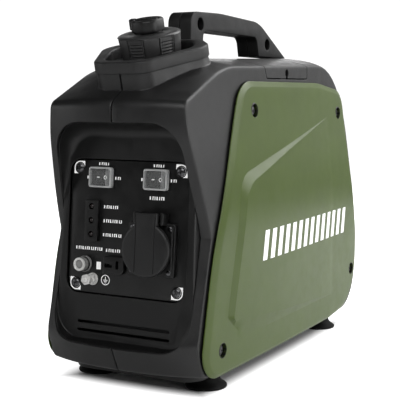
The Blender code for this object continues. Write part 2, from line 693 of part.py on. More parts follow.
def make_rear(finish, metal):
    """Louvred rear cover and the exhaust outlet that passes through it."""
    low, high = REAR_PLATE
    cover = prism("rear_cover", rounded(inset(REAR_OUTLINE, 0.4), 3), -high, -low, FACING, finish)
    for k in range(6):
        z = 153 + k * 12.5
        cut(cover, box("louvre_%d" % k, (-43, 150, z), (43, 250, z + 5)))
    x, z = EXHAUST_AT
    cut(cover, cylinder("exhaust_hole", 17, -250, -150, 20, at=(x, 0, z), turn=FACING))
    pipe = [(15, -189.7), (15, -209), (11, -209), (11, -189.7)]
    smooth(turned("exhaust_outlet", pipe, 20, metal, (x, 0, z), FACING))


def make_feet(finish, tray_finish):
    """Base tray and the four flared rubber feet under it."""
    a, b, low, high = TRAY
    outline = [(a, b, 20), (a, -b, 20), (-a, -b, 20), (-a, b, 20)]
    prism("base_tray", rounded(outline, 3), low, high - GAP, UPRIGHT, tray_finish)
    profile = [(0, low - GAP), (13, low - GAP), (14, 8), (20.5, 2.5), (20.5, 0), (0, 0)]
    for name, sx, sy in (("foot_front_right", 1, -1), ("foot_front_left", -1, -1),
                         ("foot_rear_right", 1, 1), ("foot_rear_left", -1, 1)):
        smooth(turned(name, profile, 18, finish, (sx * FEET[0], sy * FEET[1], 0)))


def make_recoil(finish, metal):
    """Recoil starter: T handle in the left panel's pocket and the rope pulley on the crank line."""
    y, z = RECOIL_AT
    face = side_x(y, z) + PANEL_LIFT
    handle = box("recoil_handle", (-face + 3, y - 43, z - 11), (-face + 20, y + 43, z + 11), finish, 4)
    join(handle, cylinder("rope_stub", 3.2, 1 - face + 18, 44 - face, 10, at=(0, y, z), turn=SIDEWAYS))
    handle.data.transform(Matrix.Translation(mm(face - 12, -y, -z)))
    place(handle, (12 - face, y, z))
    y, z = CRANK_AT
    r = PULLEY_RADIUS
    pulley = [(r, 5), (r, 3), (r - 6, 1), (r - 6, -1), (r, -3), (r, -5), (7, -5), (7, 5)]
    smooth(turned("recoil_pulley", pulley, 20, metal, (-75, y, z), SIDEWAYS))


def make_choke(finish):
    """Choke lever on a shaft through the left side panel."""
    y, z = CHOKE_AT
    face = side_x(y, z) + PANEL_LIFT
    lever = turned("choke_lever", [(0, 16), (4.4, 16), (4.4, 0), (0, 0)], 12, finish,
                   (-face - 1, y, z), SIDEWAYS)
    knob = cylinder("choke_knob", 13, -3.4, 0.6, 20, at=(-face - 1, y, z), turn=SIDEWAYS)
    join(lever, knob)
    join(lever, box("choke_grip", (-face - 4.2, y - 2.5, z - 4), (-face - 2, y + 2.5, z + 20)))
    return lever


def make_engine(block_finish, metal, dark, black):
    """Engine, alternator, carburettor, air filter and silencer inside the casing."""
    y, z = CRANK_AT
    case = box("crankcase", (-27, y - 36, 24.3), (32, y + 36, z + 40), block_finish, 4)
    cut(case, cylinder("shaft_bore", 9.3, -60, 60, 16, at=(0, y, z), turn=SIDEWAYS))
    fins = []
    for top in (34, 24, 14):
        fins += [(25, top), (34, top), (34, top - 4), (25, top - 4)]
    profile = [(0, 52), (25, 52)] + fins + [(25, 4), (0, 4)]
    head = turned("cylinder_head", profile, 12, block_finish, (2, y + 2, z + 37.5))
    smooth(head)
    cut(head, cylinder("plug_hole", 6.4, -60, 0, 10, at=(2, y + 2, z + 84), turn=FACING))
    plug = [(0, 34), (2.5, 34), (2.5, 26), (5, 26), (5, 13), (8, 13), (8, 9), (5.6, 9), (5.6, 0), (0, 0)]
    smooth(turned("spark_plug", plug, 10, metal, (2, y + 18.5, z + 84), (-pi / 2, 0, 0)))
    shaft = [(0, 42), (9, 42), (9, -50), (6.5, -50), (6.5, -82), (0, -82)]
    smooth(turned("crankshaft", shaft, 14, metal, (0, y, z), SIDEWAYS))
    r = ROTOR_RADIUS
    rotor = [(r, -34), (r, -64), (6.9, -64), (6.9, -58), (r - 7, -58), (r - 7, -34)]
    wheel = smooth(turned("flywheel_rotor", rotor, 24, metal, (0, y, z), SIDEWAYS))
    stator = [(r - 8, -36), (r - 8, -54), (12, -54), (12, -27.3), (30, -27.3), (30, -36)]
    smooth(turned("stator", stator, 20, dark, (0, y, z), SIDEWAYS))
    box("carburettor", (-14, y - 66, z + 48), (18, y - 36.5, z + 80), block_finish, 3)
    box("air_filter", (-30, y - 132, z + 36), (34, y - 66.5, z + 98), black, 4)
    silencer = box("silencer", (-32, y + 50, 60), (40, 189, 190), metal, 8)
    cut(silencer, box("silencer_inside", (-30, y + 52, 62), (38, 187, 188), bevel=8))
    x, z = EXHAUST_AT
    cut(silencer, cylinder("silencer_outlet", 11, -250, -180, 12, at=(x, 0, z), turn=FACING))
    return wheel


def make_inverter(finish):
    """Finned inverter module behind the control panel."""
    module = box("inverter_module", (-52, -150, 40), (52, -112, 205), finish, 2)
    for k in range(6):
        x = -40 + k * 16
        cut(module, box("fin_gap_%d" % k, (x - 4, -128, 30), (x + 4, -100, 220)))
    return module


def make_tank(finish, filler):
    """Fuel tank: a hollow box with a filler neck open at the top."""
    tank = box("fuel_tank", (-58, -151, 240), (58, 26, 279), finish, 5)
    join(tank, cylinder("neck", 20, -60, 4, 16, parent=filler))
    cut(tank, box("tank_inside", (-55, -148, 243), (55, 23, 276)))
    cut(tank, cylinder("neck_bore", 17, -64, 20, 16, parent=filler))
    return tank


def build():
    """Every piece of the generator."""
    start()
    casing = material("casing_plastic", (0.035, 0.036, 0.039), 0.45)
    fascia = material("fascia_plastic", (0.016, 0.016, 0.017), 0.5)
    green = material("panel_green", (0.102, 0.147, 0.042), 0.4)
    plate_black = material("control_plate", (0.008, 0.008, 0.009), 0.35)
    trim = material("trim_plastic", (0.02, 0.02, 0.021), 0.5)
    handle = material("handle_plastic", (0.045, 0.045, 0.048), 0.6)
    rubber = material("foot_rubber", (0.01, 0.01, 0.01), 0.8)
    steel = material("screw_steel", (0.09, 0.09, 0.09), 0.35, 1.0)
    bright = material("bright_metal", (0.6, 0.6, 0.58), 0.3, 1.0)
    alloy = material("cast_alloy", (0.4, 0.4, 0.4), 0.5, 1.0)
    lens = material("lamp_lens", (0.05, 0.012, 0.01), 0.2)
    white = material("button_white", (0.75, 0.74, 0.7), 0.35)
    tank = material("tank_plastic", (0.5, 0.49, 0.42), 0.5)
    filler = filler_frame()
    plate = plate_frame()
    make_casing(casing, filler)
    make_hatch(casing, steel)
    make_side_panel("side_panel_right", 1, green)
    open_left_panel(make_side_panel("side_panel_left", -1, green))
    for i, (y, z) in enumerate(PANEL_SCREWS):
        x = side_x(y, z) + WELL_FLOOR[1]
        make_screw("side_screw_right_%d" % (i + 1), 5.4, 2.2, 2.2, 8, steel, (x, y, z), SIDEWAYS)
        make_screw("side_screw_left_%d" % (i + 1), 5.4, 2.2, 2.2, 8, steel, (-x, y, z), (0, -pi / 2, 0))
    make_fascia(fascia, plate)
    make_control_panel(plate_black, steel, plate)
    for label in SWITCHES:
        make_switch(label, trim, plate_black, plate)
    make_indicators(trim, lens, plate)
    make_small_fittings(trim, white, bright, plate)
    make_outlet(trim, trim, plate)
    make_filler(casing, trim, filler)
    make_handle(handle)
    make_rear(fascia, bright)
    make_feet(rubber, fascia)
    make_recoil(trim, alloy)
    make_choke(trim)
    make_engine(alloy, bright, trim, fascia)
    make_inverter(alloy)
    make_tank(tank, filler)


build()
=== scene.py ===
"""The looks of the inverter generator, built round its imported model."""
from math import atan2, cos, pi, radians, sin, sqrt, tan

import bmesh
import bpy
from mathutils import Matrix, Vector, geometry


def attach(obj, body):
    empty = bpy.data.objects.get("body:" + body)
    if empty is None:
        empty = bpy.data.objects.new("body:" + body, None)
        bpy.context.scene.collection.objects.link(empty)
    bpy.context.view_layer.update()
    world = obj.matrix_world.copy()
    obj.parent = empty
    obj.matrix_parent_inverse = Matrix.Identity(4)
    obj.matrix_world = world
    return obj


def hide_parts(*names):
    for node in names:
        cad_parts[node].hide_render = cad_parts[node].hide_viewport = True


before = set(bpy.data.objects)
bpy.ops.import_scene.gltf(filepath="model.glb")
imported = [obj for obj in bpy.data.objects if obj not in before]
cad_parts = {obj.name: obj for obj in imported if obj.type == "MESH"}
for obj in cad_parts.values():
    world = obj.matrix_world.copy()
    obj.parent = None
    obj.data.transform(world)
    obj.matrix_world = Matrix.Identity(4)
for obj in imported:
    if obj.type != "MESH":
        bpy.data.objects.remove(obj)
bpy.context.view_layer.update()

# All lengths below are in millimetres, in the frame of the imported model.
MM = 0.001
TO_METRES = Matrix.Scale(MM, 4)
ROOT = "generator"
CORNERS = ((1, 1), (1, -1), (-1, -1), (-1, 1))       # signs of the four corners of a rectangle
WHITE = (1, 1, 1, 1)
CRISP = 38               # degrees, edges sharper than this stay crisp


def move(*place):
    """Shift by x, y and z."""
    return Matrix.Translation(place)


def spin(angle, axis):
    """Turn by an angle in radians about an axis."""
    return Matrix.Rotation(angle, 4, axis)


# ---------------------------------------------------------------- casing
HALF_WIDTH, TOP_NARROWING, WAIST_Z, NARROWING_SPAN = 85.0, 12.0, 150.0, 160.0
SIDE_BOW, BOW_CENTRE_Y, BOW_REACH_Y = 3.0, 6.0, 208.0
CROWN_POWER = 2.5
WALL = 2.8
SIDE_CENTRE = (2.0, 162.0)
CREASE = [(-190, 21, 8), (-201.5, 50, 22), (-176, WAIST_Z, 5), (-203.8, 246, 120),
          (-205.3, 274.5, 9), (-130, 308.5, 120), (186, 317, 85), (196, 190, 120),
          (214, 112, 90), (210, 21, 50)]
CENTRE = [(-204, 21, 6), (-218, 50, 10), (-186, WAIST_Z, 5), (-212, 246, 120),
          (-211.5, 276, 12), (-135, 317.5, 120), (190, 327.5, 60), (205, 190, 120),
          (218, 112, 90), (216, 21, 50)]
BEZEL = [(21, -190, -204), (50, -199.8, -216), (WAIST_Z, -176.5, -187), (205, -191.3, -200.2),
         (262, -203, -210.3), (280, -197.5, -201.5)]    # height, y at the crease, y in the middle

# ---------------------------------------------------------------- green side panels
PANEL_LIFT = 4.5
PANEL_OUTLINE = [(-102, 295.5, 34), (95, 295.5, 200), (176, 286, 26), (186, 190, 100),
                 (205, 112, 80), (203, 28, 62), (110, 20, 160), (-203, 18, 26),
                 (-176, 140, 300)]
PANEL_CHAMFER = [5.5, 5.5, 6, 6, 6, 3.5, 3.5, 10.5, 9.5]      # one width for each edge
PANEL_PROFILE = [(0.0, 1.9), (0.0, 2.5), (0.03, 2.8), (0.10, 3.05), (0.3, 3.4), (0.55, 3.8), (0.8, 4.2),
                 (0.92, 4.36), (1.0, 4.42), (1.08, 4.46)]     # share of the chamfer's width, height
PANEL_SCREWS = [(-77, 266.3), (-161.6, 42.5), (154.8, 260.3), (184, 68.1)]
WELL_RADIUS = 7.0
RIDGE_TOP = [(114, 255.5, 0), (-9, 224, 150), (-112, 194, 34), (-146, 68.5, 4), (-30, 57.4, 0),
             (112, 49.4, 0)]
RIDGE_BASE = [(118, 256.5, 0), (-9, 228, 0), (-119, 204, 30), (-152, 71.5, 5), (-127.5, 52.5, 8),
              (-88, 48, 20), (115, 48.6, 0)]
RIDGE_HEIGHT, RIDGE_REAR, RIDGE_LENGTH = 3.2, 118, 170
EMBLEM = (-84.0, 162.0, 132.0, 30.0, 14)     # first y, last y, z of the middle, height, bars

# ---------------------------------------------------------------- front
FASCIA_OUTLINE = [(67.5, 257, 32), (75.5, 168, 150), (77, 82, 160), (76, 45, 28),
                  (-76, 45, 28), (-77, 82, 160), (-75.5, 168, 150), (-67.5, 257, 32)]
FASCIA_SMOOTH = 55        # degrees
VENT_SLOTS, VENT_SLOT_HALF = (54.5, 62.7), (52.0, 1.3, 1.25)
PLATE_TILT = 4.9
PLATE_ORIGIN = Vector((0, -185.8, 155.25))
PLATE_HALF = (66.2, 64.6)
PLATE_SINK = 2.0
PLATE_SCREWS = (56.8, 56.2)
SWITCHES = {"economy": (-29.7, 47.8), "engine": (32.0, 47.8)}
LAMPS = {"output": 19.5, "overload": 6.0, "oil": -7.5}
LAMP_X = -39.0
BREAKER_AT, DC_AT, EARTH_AT, OUTLET_AT = (-46.5, -37.0), (-11.0, -36.0), (-37.0, -51.0), (30.3, -17.6)
EARTH_SIGN_AT = (-22.6, -51.0)
CORNER_FIELD = [(-5.5, 6.8, 0), (6.8, 6.8, 6.6), (6.8, -5.5, 0), (1.5, -5.5, 0), (-5.5, 1.5, 0)]
SWITCH_POCKET = (12.2, 7.7, 0.8)
LID_EDGE = [(1.2, 11.6), (0.3, 11.8), (0.0, 12.5), (0.0, 15.3), (0.35, 16.3), (1.3, 16.9),
            (2.8, 17.1)]                               # set in from the lid's outline, height
ROCKER = [(-11, 3.4), (-8, 2.75), (-4, 2.1), (0, 1.7), (4, 2.1), (8, 2.75), (11, 3.4), (11, -2.6),
          (4, -6.4), (-4, -6.4), (-11, -2.6)]          # across the key, height

# ---------------------------------------------------------------- filler, handle, hatch, rear
FILLER_ORIGIN = Vector((0, -140.9, 327.1))
FILLER_TILT = 14.5
COLLAR_THICK = 11.2
BOSS_SKIRT = [(-10.9, 0.0), (-11.4, 0.0), (-16, 1.0), (-22, 2.5), (-30, 4.0), (-46, 5.0)]   # height, flare
COLLAR_OUTLINE = [(28, -62, 20), (62, 9, 26), (34, 42, 16), (-34, 42, 16), (-62, 9, 26), (-28, -62, 20)]
COLLAR_HOLE = [(22, -52, 19), (46, 4, 22), (28, 35, 16), (-28, 35, 16), (-46, 4, 22), (-22, -52, 19)]
CAP_RADIUS, CAP_PANELS, KNOB_RADIUS, KNOB_TURN = 30.5, 12, 16.0, 8
HANDLE_HALF = 13.5
HANDLE_OUTLINE = [(-85, 320.6, 0), (-85, 366.5, 13), (-20, 368.5, 300), (76, 365, 70),
                  (152, 326.2, 0.6), (76, 326.4, 0), (70.5, 348, 10), (-57.5, 349, 8), (-60.5, 321.4, 0)]
HANDLE_BOLTS = [(-64.5, 354.6), (98.9, 340.6)]
HATCH = [(-43, 325, 0), (-43, 313, 0), (-36.5, 298.5, 2.5), (71, 299.5, 2.5), (71, 325, 0)]
HATCH_INNER_X = 46.0
HATCH_SCREW = (14.5, 305.0)
REAR_OUTLINE = [(56, 62, 16), (56, 236, 16), (-56, 236, 16), (-56, 62, 16)]
EXHAUST_Z = 112.0
LOUVRES, LOUVRE_PITCH, LOUVRE_Z = 6, 12.5, 155.5       # how many, apart, height of the lowest
FEET = (63.0, 144.0)
TRAY = [(72, 168, 20), (72, -181, 20), (-72, -181, 20), (-72, 168, 20)]
RECOIL_AT = (-16.0, 208.0)
RECOIL_POCKET, RECOIL_GRIP = (49, 20, 9), (43, 11, 10.5)      # half sizes and corner radius
CHOKE_HOLE = 5.4
CHOKE_AT = (-92.0, 150.0)

# How far cutting tools reach through a wall.
RIGHT_CUT, LEFT_CUT, FRONT_CUT, REAR_CUT = (40, 120), (-130, -60), (150, 260), (-260, -150)

OUTWARD = spin(pi / 2, "Y")          # z of a turned piece towards +X
REARWARD = spin(-pi / 2, "X")        # z of a turned piece towards +Y
FRONTWARD = spin(pi / 2, "X")        # outline in x and z, z of the prism towards -Y
PLATE = move(*PLATE_ORIGIN) @ spin(radians(-PLATE_TILT), "X") @ FRONTWARD       # x right, y up, z out of it
FILLER = move(*FILLER_ORIGIN) @ spin(radians(FILLER_TILT), "X")
SIDEWARD = Matrix(((0, 0, 1, 0), (1, 0, 0, 0), (0, 1, 0, 0), (0, 0, 0, 1)))   # outline in y and z


# ================================================================ outlines
def trace(corners, arc=8, spacing=6.0, like=None):
    """Closed outline through (a, b, radius) corners; straight parts are split like another outline's."""
    parts = []
    for i, (a, b, radius) in enumerate(corners):
        here = Vector((a, b))
        before = (Vector(corners[i - 1][:2]) - here).normalized()
        after = (Vector(corners[(i + 1) % len(corners)][:2]) - here).normalized()
        if radius == 0:
            parts.append([here])
            continue
        half = before.angle(after) / 2
        centre = here + (before + after).normalized() * radius / sin(half)
        first = here + before * radius / tan(half) - centre
        last = here + after * radius / tan(half) - centre
        turn = atan2(first.x * last.y - first.y * last.x, first.dot(last))
        parts.append([centre + Matrix.Rotation(turn * k / arc, 2) @ first for k in range(arc + 1)])
    counts = like or [max(1, round((parts[(i + 1) % len(parts)][0] - part[-1]).length / spacing))
                      for i, part in enumerate(parts)]
    points = []
    for i, part in enumerate(parts):
        points += part
        after = parts[(i + 1) % len(parts)][0]
        points += [part[-1].lerp(after, k / counts[i]) for k in range(1, counts[i])]
    return points, counts


def contour(corners, arc=8):
    """Points of a closed outline whose straight parts are left whole."""
    return trace(corners, arc, 1e9)[0]


def offset_corners(corners, amounts):
    """The same corners with every edge moved in by its own amount."""
    count = len(corners)
    area = sum(corners[i][0] * corners[(i + 1) % count][1] - corners[i][1] * corners[(i + 1) % count][0]
               for i in range(count))
    side = 1 if area > 0 else -1
    lines = []
    for i in range(count):
        a, b = Vector(corners[i][:2]), Vector(corners[(i + 1) % count][:2])
        along = (b - a).normalized()
        lines.append((a + Vector((-along.y, along.x)) * side * amounts[i], along))
    result = []
    for i in range(count):
        (p, d), (q, e) = lines[i - 1], lines[i]
        cross = d.x * e.y - d.y * e.x
        if abs(cross) < 0.02:
            corner = q
        else:
            t = ((q.x - p.x) * e.y - (q.y - p.y) * e.x) / cross
            corner = p + d * t
        radius = corners[i][2]
        shrink = (amounts[i - 1] + amounts[i]) / 2
        result.append((corner.x, corner.y, max(0.4, radius - shrink) if radius else 0))
    return result


def inset(corners, amount):
    """The same corners with every edge moved in by one amount."""
    return offset_corners(corners, [amount] * len(corners))


def rectangle(a, b, radius, x=0.0, y=0.0):
    """Corners of a rounded rectangle with half sizes a and b."""
    return [(x + a, y + b, radius), (x + a, y - b, radius), (x - a, y - b, radius), (x - a, y + b, radius)]


def circle(radius, count=48, x=0.0, y=0.0):
    """Points round a circle."""
    return [Vector((x + radius * cos(2 * pi * k / count), y + radius * sin(2 * pi * k / count)))
            for k in range(count)]


def inside(point, polygon):
    """Whether a point lies in a polygon."""
    found = False
    x, y = point
    for i in range(len(polygon)):
        a, b = polygon[i - 1], polygon[i]
        if (a.y > y) != (b.y > y) and x < (b.x - a.x) * (y - a.y) / (b.y - a.y) + a.x:
            found = not found
    return found


def distance(point, polygon):
    """Distance from a point to a polygon's edge."""
    p = Vector(point)
    best = 1e9
    for i in range(len(polygon)):
        a, b = polygon[i - 1], polygon[i]
        ab = b - a
        t = min(1.0, max(0.0, (p - a).dot(ab) / max(1e-9, ab.length_squared)))
        best = min(best, (p - a - ab * t).length_squared)
    return sqrt(best)


# ================================================================ meshes
def link(name, data):
    """A new object in the scene."""
    obj = bpy.data.objects.new(name, data)
    bpy.context.scene.collection.objects.link(obj)
    return obj


def drop(*objs):
    """Delete objects that are used up."""
    for obj in objs:
        bpy.data.objects.remove(obj, do_unlink=True)


def shade(mesh, smooth):
    """Shade a mesh smooth, except for edges sharper than an angle in degrees."""
    mesh.shade_smooth()
    mesh.set_sharp_from_angle(angle=radians(smooth))


def bridge(bm, row, after):
    """Faces between two closed rows of corners."""
    for i in range(len(row)):
        j = (i + 1) % len(row)
        bm.faces.new((row[i], row[j], after[j], after[i]))


def stitch(rings, cap_first=False, cap_last=False, endless=False):
    """A mesh from rings of points joined one to the next, with flat caps or the ends joined."""
    bm = bmesh.new()
    rows = [[bm.verts.new(point) for point in ring] for ring in rings]
    for row, after in zip(rows, rows[1:] + rows[:1] if endless else rows[1:]):
        bridge(bm, row, after)
    if cap_first:
        bm.faces.new(list(reversed(rows[0])))
    if cap_last:
        bm.faces.new(rows[-1])
    return bm


def build(name, bm, finish, matrix=Matrix(), smooth=CRISP, repair=True):
    """An object in the model's frame from a mesh given in millimetres."""
    if repair:
        bmesh.ops.recalc_face_normals(bm, faces=bm.faces)
    bm.transform(TO_METRES @ matrix)
    mesh = bpy.data.meshes.new(name)
    bm.to_mesh(mesh)
    bm.free()
    if finish:
        mesh.materials.append(finish)
    shade(mesh, smooth)
    return link(name, mesh)


def modify(obj, kind, **values):
    """Add a modifier."""
    modifier = obj.modifiers.new(kind.title(), kind)
    for key, value in values.items():
        setattr(modifier, key, value)


def apply(obj, smooth=CRISP):
    """Make an object's modifiers part of its mesh."""
    bpy.context.view_layer.update()
    depsgraph = bpy.context.evaluated_depsgraph_get()
    mesh = bpy.data.meshes.new_from_object(obj.evaluated_get(depsgraph))
    obj.modifiers.clear()
    obj.data = mesh
    shade(mesh, smooth)
    return obj


def carve(obj, *tools, operation="DIFFERENCE", smooth=CRISP):
    """Cut or intersect an object with tools, which are used up."""
    for tool in tools:
        modify(obj, "BOOLEAN", operation=operation, object=tool, solver="MANIFOLD")
    apply(obj, smooth)
    drop(*tools)
    return obj


def thicken(obj, wall, side=-1, smooth=CRISP):
    """Give a surface a wall on one side."""
    modify(obj, "SOLIDIFY", thickness=wall * MM, offset=side)
    return apply(obj, smooth)


def prism(name, outline, low, high, finish=None, matrix=Matrix()):
    """A straight prism over an outline."""
    rings = [[(p[0], p[1], height) for p in outline] for height in (low, high)]
    return build(name, stitch(rings, True, True), finish, matrix)


def slab(name, corners, low, high, finish=None, matrix=Matrix(), edge=1.0, foot=0.0, arc=8):
    """A prism with a rounded upper edge, and a rounded lower edge where asked."""
    rings = []

    def ring(shape, height):
        rings.append([(p.x, p.y, height) for p in contour(shape, arc)])

    for k in range(4 if foot else 0):
        t = k / 4 * pi / 2
        ring(inset(corners, foot * (1 - sin(t))), low + foot * (1 - cos(t)))
    ring(corners, low + foot)
    for k in range(5):
        t = k / 4 * pi / 2
        ring(inset(corners, edge * (1 - cos(t)) + 1e-4), high - edge + edge * sin(t))
    return build(name, stitch(rings, True, True), finish, matrix)


def cutter(corners, low, high, matrix, edge=0.1):
    """Tool that cuts a rounded hole."""
    return slab("tool", corners, low, high, None, matrix, edge)


def drill(radius, count, x, y, low, high, matrix):
    """Tool that cuts a round hole."""
    return prism("tool", circle(radius, count, x, y), low, high, None, matrix)


def lathe(name, profile, finish=None, matrix=Matrix(), steps=48, wave=None):
    """A turned piece; wave changes the radius with the angle and the height."""
    rings = []
    for radius, height in profile:
        ring = []
        for k in range(steps):
            angle = 2 * pi * k / steps
            r = wave(radius, angle, height) if wave else radius
            ring.append((r * cos(angle), r * sin(angle), height))
        rings.append(ring)
    bm = stitch(rings, endless=profile[0][0] > 0.01)
    bmesh.ops.remove_doubles(bm, verts=bm.verts, dist=1e-4)
    return build(name, bm, finish, matrix)


def block(name, low, high, finish=None, matrix=Matrix(), edge=0.0):
    """A box between two corners, with rounded edges where asked."""
    bm = bmesh.new()
    bmesh.ops.create_cube(bm, size=1)
    size = Vector(high) - Vector(low)
    bm.transform(move(*(Vector(high) + Vector(low)) / 2) @ Matrix.Diagonal((*size, 1)))
    if edge:
        bmesh.ops.bevel(bm, geom=bm.edges, offset=edge, segments=2, affect="EDGES", profile=0.5)
    return build(name, bm, finish, matrix)


def merge(name, *objs):
    """Several objects made one."""
    bm = bmesh.new()
    slots = []
    for obj in objs:
        first = len(bm.faces)
        mesh = obj.data.copy()
        mesh.transform(obj.matrix_world)
        bm.from_mesh(mesh)
        bm.faces.ensure_lookup_table()
        for face in bm.faces[first:]:
            finish = obj.data.materials[face.material_index]
            if finish not in slots:
                slots.append(finish)
            face.material_index = slots.index(finish)
    mesh = bpy.data.meshes.new(name)
    bm.to_mesh(mesh)
    bm.free()
    drop(*objs)
    for finish in slots:
        mesh.materials.append(finish)
    return link(name, mesh)


def mirrored(obj, name):
    """A mirror copy across the middle plane."""
    mesh = obj.data.copy()
    mesh.transform(Matrix.Scale(-1, 4, (1, 0, 0)))
    mesh.flip_normals()
    return link(name, mesh)


def copied(obj, name, matrix=Matrix()):
    """A copy of an object's mesh, moved in millimetres."""
    mesh = obj.data.copy()
    mesh.transform(TO_METRES @ matrix @ TO_METRES.inverted())
    return link(name, mesh)


def hexagon(bore=1.0, turn=0.0, grow=1.0):
    """Wave that makes a turned piece six-sided outside its bore."""
    return lambda r, a, h: r if r < bore else r * cos(pi / 6) / cos((a + turn) % (pi / 3) - pi / 6) * grow


def fit(obj, slot, *nodes, body=ROOT):
    """Put a finished piece on its body, in place of the nodes it stands for."""
    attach(obj, body)
    if nodes:
        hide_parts(*nodes)
    return obj


# ================================================================ materials
class Nodes:
    """Adds nodes to a shader tree; a socket or a plain value can feed any input."""

    def __init__(self, tree):
        self.tree = tree

    def feed(self, value, socket):
        """Give an input a socket to follow or a plain value."""
        if isinstance(value, bpy.types.NodeSocket):
            self.tree.links.new(value, socket)
        else:
            socket.default_value = value

    def node(self, kind, **values):
        """A new node; values are its settings or, by socket name, its inputs."""
        made = self.tree.nodes.new("ShaderNode" + kind)
        for key, value in values.items():
            if hasattr(made, key):
                setattr(made, key, value)
            else:
                self.feed(value, made.inputs[key.replace("_", " ")])
        return made

    def calculate(self, operation, *inputs, kind="Math"):
        """Result of an arithmetic node."""
        made = self.node(kind, operation=operation)
        for value, socket in zip(inputs, made.inputs):
            self.feed(value, socket)
        return made.outputs["Value"]

    def spread(self, value, low, high, start=0.3, end=0.7, shape="LINEAR"):
        """Map the range from start to end to the range from low to high."""
        made = self.node("MapRange", interpolation_type=shape, Value=value, From_Min=start, From_Max=end,
                         To_Min=low, To_Max=high)
        return made.outputs["Result"]


class Finish(Nodes):
    """A node material round one Principled shader."""

    def __init__(self, name):
        self.material = bpy.data.materials.new(name)
        self.material.use_nodes = True
        super().__init__(self.material.node_tree)
        self.place = self.node("TexCoord").outputs["Object"]

    def shade(self, **values):
        """Feed the shader's inputs."""
        for key, value in values.items():
            self.feed(value, self.tree.nodes["Principled BSDF"].inputs[key.replace("_", " ")])

    def noise(self, scale, detail=3.0, rough=0.55, stretch=None):
        """Noise in the object's own coordinates; scale is in features per metre."""
        place = self.place
        if stretch:
            place = self.node("Mapping", Vector=place, Scale=stretch).outputs["Vector"]
        return self.node("TexNoise", Vector=place, Scale=scale, Detail=detail, Roughness=rough).outputs["Fac"]

    def mix(self, factor, first, second):
        """Blend two colours."""
        made = self.node("Mix", data_type="RGBA", Factor=factor)
        for value, socket in zip((first, second), made.inputs[6:8]):
            self.feed((*value, 1) if isinstance(value, tuple) else value, socket)
        return made.outputs[2]

    def bevel(self, radius):
        """Normal with the edges rounded by a radius in millimetres."""
        return self.node("Bevel", samples=4, Radius=radius * MM).outputs["Normal"]

    def bump(self, height, normal, strength, distance):
        """Normal with fine relief in it."""
        made = self.node("Bump", Strength=strength, Distance=distance, Height=height, Normal=normal)
        return made.outputs["Normal"]


def mottle_and_edge_highlight(finish, colour, mottle, edge_highlight, edge):
    """Mottled colour with a painted highlight along the rounded edges, broken into patches; returns the
    bevelled normal.
    """
    dark = tuple(c * (1 - mottle) for c in colour)
    pale = tuple(min(1, c * (1 + mottle)) for c in colour)
    tone = finish.mix(finish.spread(finish.noise(22, 4), 0, 1), dark, pale)
    normal = finish.bevel(edge)
    # Paler colour where the bevel rounds an edge, in noise patches: a painted edge highlight.
    if edge_highlight:
        straight = finish.node("NewGeometry").outputs["Normal"]
        bend = finish.calculate("DOT_PRODUCT", normal, straight, kind="VectorMath")
        patches = finish.spread(finish.noise(260, 3), 0.35, 1)
        share = finish.calculate("MULTIPLY", finish.spread(bend, edge_highlight, 0, 0.72, 0.99), patches)
        tone = finish.mix(share, tone, tuple(min(1, c * 2.2 + 0.03) for c in colour))
    finish.shade(Base_Color=tone)
    return normal


def plastic(name, colour, rough=(0.35, 0.5), grain=(2200, 0.12), mottle=0.12, edge_highlight=0.25, edge=1.2,
            level=0.5, glow=0.0):
    """Moulded plastic with a fine spark-eroded grain."""
    finish = Finish(name)
    normal = mottle_and_edge_highlight(finish, colour, mottle, edge_highlight, edge)
    finish.shade(Roughness=finish.spread(finish.noise(70, 4), *rough), Specular_IOR_Level=level,
                 Emission_Color=WHITE, Emission_Strength=glow,
                 Normal=finish.bump(finish.noise(grain[0], 2, 0.6), normal, grain[1], 0.0004))
    return finish.material


def metal(name, colour, rough=(0.2, 0.4), brush=(40, 40, 900), strength=0.08, edge=0.4, metallic=1.0):
    """Metal with fine tool marks."""
    finish = Finish(name)
    normal = mottle_and_edge_highlight(finish, colour, 0.1, 0.3, edge)
    marks = finish.noise(1.0, 4, 0.6, brush)
    finish.shade(Roughness=finish.spread(marks, *rough), Metallic=metallic,
                 Normal=finish.bump(marks, normal, strength, 0.0003))
    return finish.material


def clear(name, colour, face, rim):
    """See-through plastic: face and rim give how much it hides seen flat on and edge on."""
    finish = Finish(name)
    tone = finish.mix(finish.spread(finish.noise(160, 3), 0, 1), tuple(c * 0.85 for c in colour), colour)
    facing = finish.node("LayerWeight", Blend=0.35).outputs["Facing"]
    finish.shade(Base_Color=tone, Roughness=finish.spread(finish.noise(400, 2), 0.08, 0.2),
                 Alpha=finish.spread(facing, face, rim, 0.15, 0.75), Normal=finish.bevel(0.8))
    return finish.material


CASING = plastic("casing_moulded", (0.015, 0.015, 0.0152), (0.34, 0.46), (2400, 0.10), edge_highlight=0.2, edge=1.4)
COLLAR = plastic("collar_moulded", (0.019, 0.019, 0.0192), (0.42, 0.55), (2400, 0.14), edge_highlight=0.2, edge=1.4)
FASCIA = plastic("fascia_moulded", (0.0055, 0.0055, 0.0055), (0.36, 0.5), (2400, 0.12), edge_highlight=0.15)
GREEN = plastic("panel_moulded", (0.060, 0.094, 0.010), (0.28, 0.36), (1800, 0.05), 0.05, 0.6, 1.0, 0.46)
CONTROL = plastic("plate_moulded", (0.0045, 0.0045, 0.0045), (0.30, 0.42), (3200, 0.1), edge_highlight=0.15, edge=0.6)
TRIM = plastic("trim_moulded", (0.004, 0.004, 0.004), (0.34, 0.48), (2600, 0.12), edge_highlight=0.25, edge=0.7)
CAP = plastic("cap_moulded", (0.042, 0.042, 0.0422), (0.28, 0.4), (2600, 0.12), edge_highlight=0.35, edge=0.8)
LID = plastic("lid_moulded", (0.011, 0.011, 0.0112), (0.38, 0.5), (2600, 0.12), edge_highlight=0.25, edge=0.9)
